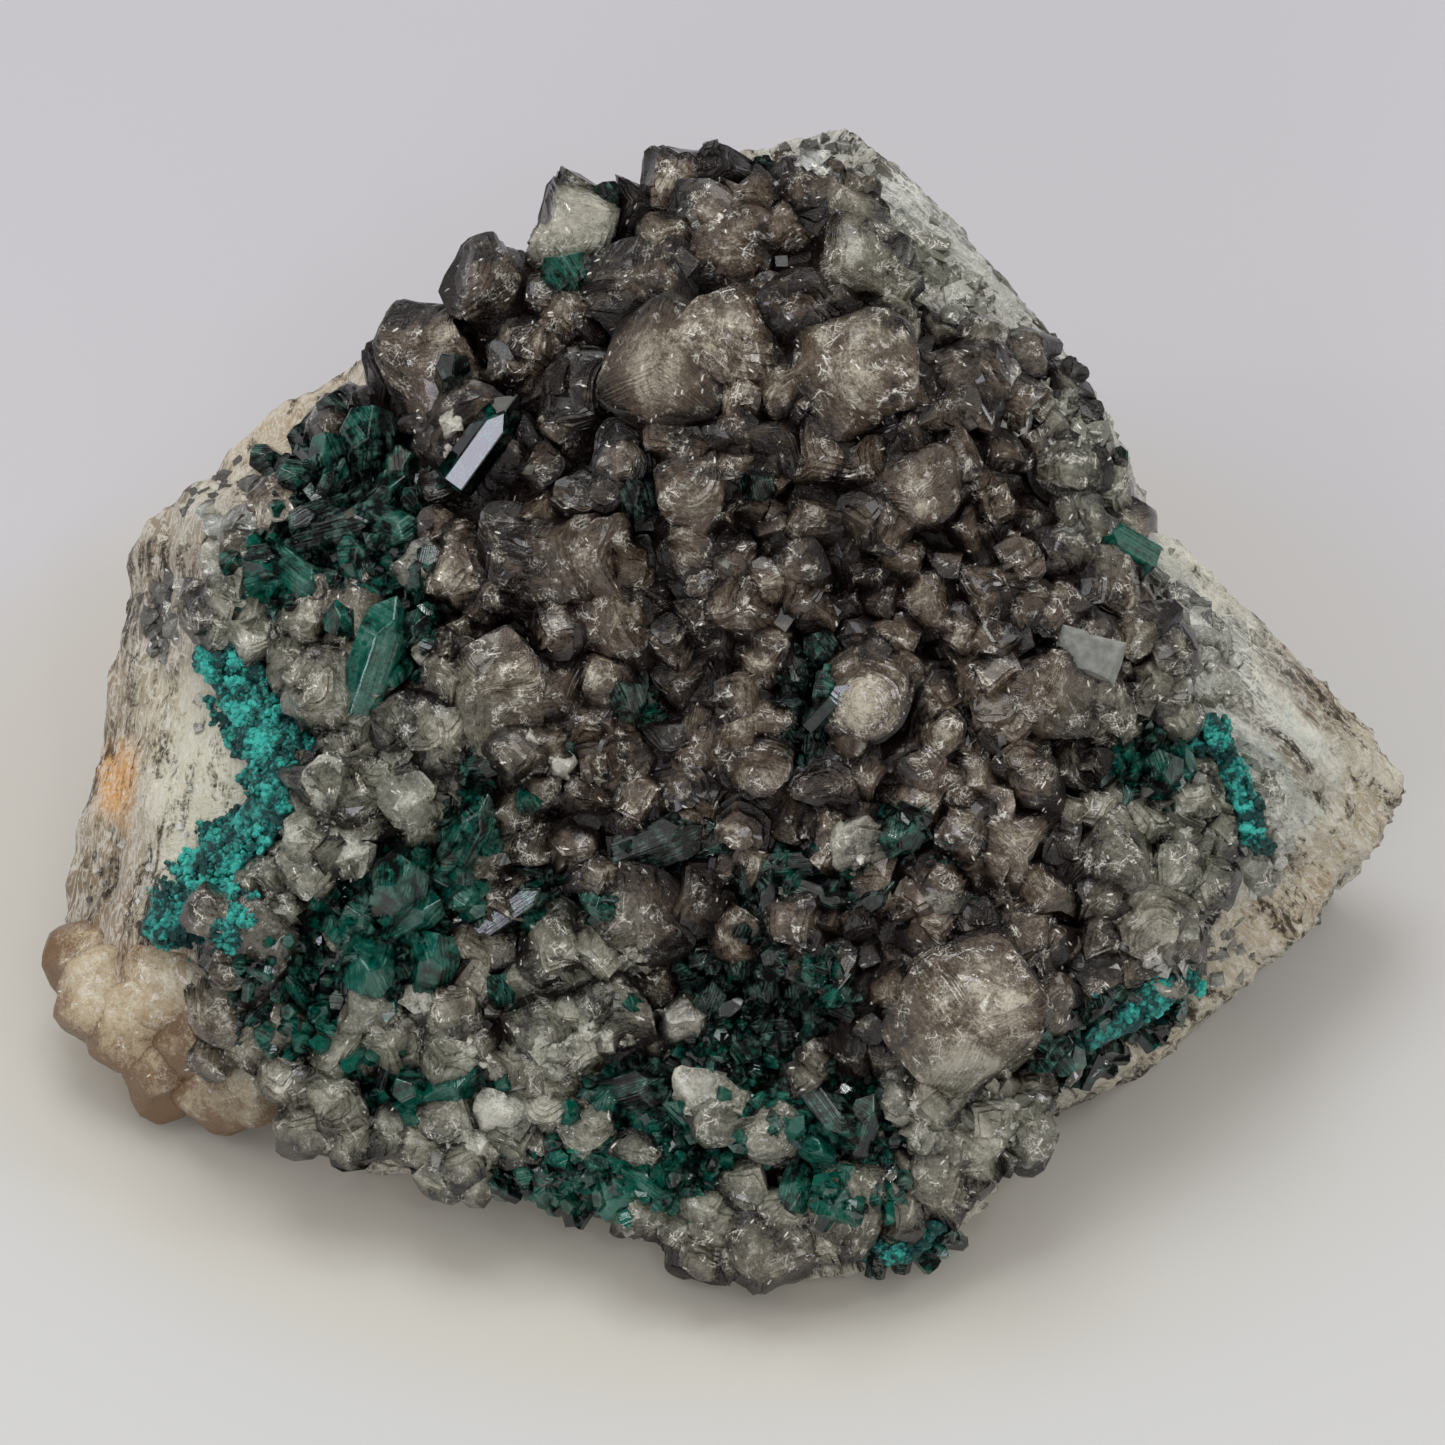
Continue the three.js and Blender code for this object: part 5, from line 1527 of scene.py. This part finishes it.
# %% [markdown]
# ## Faces that flash
#
# Here and there a single flat face stands just so that it mirrors the window. Each is a thin plate of clear
# calcite that lies on the crystals with its face turned half way between the window and the camera.
# %% Plates
HERO = DIOPTASES["dioptase_hero"][0]
MIRROR = heading(HERO[4] + 180, 90 - 2 * HERO[5])  # where the camera's ray goes after the best prism's top face
WINDOW_AWAY = 900
WINDOW = face_place(HERO[0], HERO[1], 45) + MIRROR * WINDOW_AWAY
PLATES = [  # grid column, grid row, length and width in squares, degrees round, how dull
    [1087, 655, 68, 42, -16, 1.0], [542, 340, 18, 11, 80, 0.3], [573, 352, 12, 9, 20, 0.2],
    [588, 342, 10, 9, 50, 0.3], [600, 358, 9, 8, 10, 0.3], [985, 715, 11, 8, 80, 0.0], [1001, 740, 15, 8, 100, 0.0],
    [942, 715, 14, 9, 30, 0.5], [1152, 765, 26, 7, 30, 0.0], [1146, 790, 20, 12, 20, 0.4],
    [1072, 1075, 22, 8, 55, 0.0], [727, 563, 16, 11, 60, 0.6], [532, 467, 22, 9, 65, 0.0],
    [350, 514, 10, 7, 20, 0.0], [563, 918, 9, 8, 60, 0.0], [603, 745, 14, 6, 60, 0.2], [345, 620, 9, 8, 10, 0.3],
    [905, 1075, 9, 6, 50, 0.3], [1000, 1098, 12, 4, 60, 0.1], [855, 862, 8, 6, 30, 0.2], [780, 890, 10, 4, 80, 0.2],
    [690, 905, 8, 5, 10, 0.2], [630, 960, 8, 5, 70, 0.2], [505, 700, 10, 4, 40, 0.4], [452, 800, 10, 4, 60, 0.2],
]


def plate():
    """A slab whose foot is wider than its face."""
    piece = start(bpy.ops.mesh.primitive_cube_add, size=2)
    bpy.ops.object.mode_set(mode="EDIT")
    select_faces(lambda normal, sides: normal.z < -0.5)
    bpy.ops.transform.resize(value=(1.3, 1.3, 1), center_override=(0, 0, 0))
    bpy.ops.mesh.select_all(action="SELECT")
    bpy.ops.mesh.subdivide(number_cuts=3)
    return finish_master(piece)


PLATE = plate()
PLATE_DEEP, PLATE_SUNK = 0.22, 0.2  # millimetres
PLATE_SHARE = 0.7  # half of a plate's side as a share of its survey, so that it shows beyond its unevenness
LARGE_PLATE, LARGE_LIFT = 40, 0.75  # a plate longer than so many squares stands so many millimetres higher
tops = tops_of(stone)
camera_place = np.array(camera.location) / MM
plates = Heap()
for column, row, length, width, degrees, dull in PLATES:
    u, v, _ = cell_of(face_place(column, row, 0)[None, :])
    place = face_place(column, row, max(tops[u, v][0], 1) - PLATE_SUNK + LARGE_LIFT * (length > LARGE_PLATE))
    to_window, to_camera = WINDOW - place, camera_place - place
    facing = to_window / np.linalg.norm(to_window) + to_camera / np.linalg.norm(to_camera)
    facing /= np.linalg.norm(facing)
    ahead = heading(degrees)
    ahead -= facing * (ahead @ facing)
    ahead /= np.linalg.norm(ahead)
    size = np.array([length * GRID_MM * PLATE_SHARE, width * GRID_MM * PLATE_SHARE, PLATE_DEEP])
    basis = np.array([ahead, np.cross(facing, ahead), facing])
    points = uneven(PLATE[0] * size @ basis + place, 0.8, 0.25, column)
    plates.add(PLATE, points, 1.0, 0.5, 0.0, dull)

plate_finish = Finish("clear calcite", IOR=CALCITE_IOR)
where = plate_finish.place()
dull, cloud = plate_finish.mark("frost"), plate_finish.noise(where, 1.4, detail=4)
tone = plate_finish.mix(((cloud - 0.5) * 2.0 + dull * 0.6).clamp(), paint(88, 86, 80), paint(146, 149, 145))
plate_finish.feed(Base_Color=tone, Roughness=(0.04 + dull * 0.5 + (cloud - 0.5) * 0.1).clamp())
pieces["plates"] = plates.build("plates", plate_finish, GRAIN_ANGLE)
print("plates:", len(plates.totals))

# %% [markdown]
# ## Join the pieces to the frame
#
# The specimen is one rigid thing, so every piece rides on the root. The rock, the crust, the turquoise skins
# and the prisms take the place of the plain solids that they were modelled from. A node whose name only adds
# a number to that of a group belongs to the group.
# %% Ride, replace and slot
SLOTS = {
    "matrix": [rock],
    "calcite": [crust, *(piece for name, piece in pieces.items() if not name.startswith("dioptase_"))],
    "dioptase": [piece for name, piece in pieces.items() if name.startswith("dioptase_")],
    "turquoise": [piece for _, *both in turquoise_pieces for piece in both],
}
for slot, members in SLOTS.items():
    for piece in members:
        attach(piece, "root")
    print(slot, "pieces:", len(members))

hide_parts("matrix_rock")
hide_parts("calcite_crust")
for name, skin, _ in turquoise_pieces:
    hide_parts(name)
for node in [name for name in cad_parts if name.startswith("dioptase_")]:
    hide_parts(node)

# %% [markdown]
# ## Table and light
#
# The table is pale. Its colour is painted a little darker towards the back, as painted falloff of the light,
# and warm close to the specimen, as painted light that comes back from the rock. A soft light hangs above, as
# in a light tent, and the surroundings fill the shadows. What a shiny face mirrors of the tent is mostly dark,
# with a few bright openings.
# %% Table
# Painted light: the back colour is darker, as painted falloff, and the warm tint close to the specimen is painted
# light that comes back from the rock.
TABLE_BACK, TABLE_FRONT = (0.508, 0.5, 0.55, 1), (0.612, 0.62, 0.622, 1)
TABLE_BOUNCE_TINT = (1.0, 0.965, 0.87, 1)  # the tone is multiplied by this close to the specimen

table = start(bpy.ops.mesh.primitive_plane_add, size=4)
table.name = "table"
table_finish = Finish("pale table", Roughness=0.6)
where = table_finish.place()
forward = table_finish.node("ShaderNodeSeparateXYZ", {}, {0: where}, output=1).between(110, -90)
rightward = table_finish.node("ShaderNodeSeparateXYZ", {}, {0: where}).between(0, 50)
oval = table_finish.vectors("MULTIPLY", where, (1, 1.3, 1))
away = table_finish.node("ShaderNodeVectorMath", {"operation": "LENGTH"}, {0: oval}, output=1)
bounce_share = away.between(68, 54) * (1 - rightward * 0.6)
lit = table_finish.mix(forward, TABLE_BACK, TABLE_FRONT)
table_finish.feed(Base_Color=table_finish.mix(bounce_share, lit, TABLE_BOUNCE_TINT, "MULTIPLY"))
table.data.materials.append(table_finish.material)
print("table finish:", len(table_finish.tree.nodes), "nodes")

# %% [markdown]
# The lamps are weak, because most of the light comes from the tent. The key is cool, two small ones put
# glints on the left and on the front, and the window is the bright patch that the best prism mirrors.
# %% Tent and lamps
TENT, GAP, OPENING = 0.725, 0.07, 1.2  # light of the tent, and what faces mirror of it: gaps and openings

world = bpy.data.worlds.new("tent")
bpy.context.scene.world = world
world.use_nodes = True
background = world.node_tree.nodes["Background"]
background.inputs["Color"].default_value = (0.985, 0.948, 0.89, 1)
tent = Nodes(world.node_tree)
openings = tent.noise(tent.node("ShaderNodeTexCoord"), 3.0, detail=2.0, rough=0.5).between(0.575, 0.62)
glossy = tent.node("ShaderNodeLightPath", output="Is Glossy Ray")
strength = tent.node("ShaderNodeMix", {}, {0: glossy, 2: TENT, 3: openings * (OPENING - GAP) + GAP})
tent.tree.links.new(strength.socket, background.inputs["Strength"])


def soft_light(name, towards, away, size, watts, colour=(1, 1, 1)):
    """A round lamp that hangs so far away in metres and looks back at the specimen."""
    lamp = bpy.data.lights.new(name, "AREA")
    lamp.shape, lamp.size, lamp.energy, lamp.color = "DISK", size, watts, colour
    light = put(name, lamp)
    direction = Vector(towards).normalized()
    light.location = direction * away + Vector((0, 0, 0.02))
    light.rotation_euler = direction.to_track_quat("Z", "Y").to_euler()
    return light


soft_light("key", (-0.1, 0.35, 1.0), 0.7, 0.44, 1.6, (0.955, 0.98, 1.0))
soft_light("side", (1.0, 0.1, 0.9), 0.7, 0.1, 0.3)
soft_light("fill left", (-1.0, -0.2, 0.9), 0.8, 0.5, 0.45)
soft_light("glint left", (-0.9, -0.3, 1.0), 0.8, 0.05, 0.16)
soft_light("glint front", (0.3, -1.0, 1.3), 0.8, 0.05, 0.16)
window = soft_light("window", MIRROR, WINDOW_AWAY * MM, 0.2, 0.7, (0.86, 0.86, 1.0))
window.location = Vector(WINDOW) * MM
print("window, mm:", WINDOW.round())
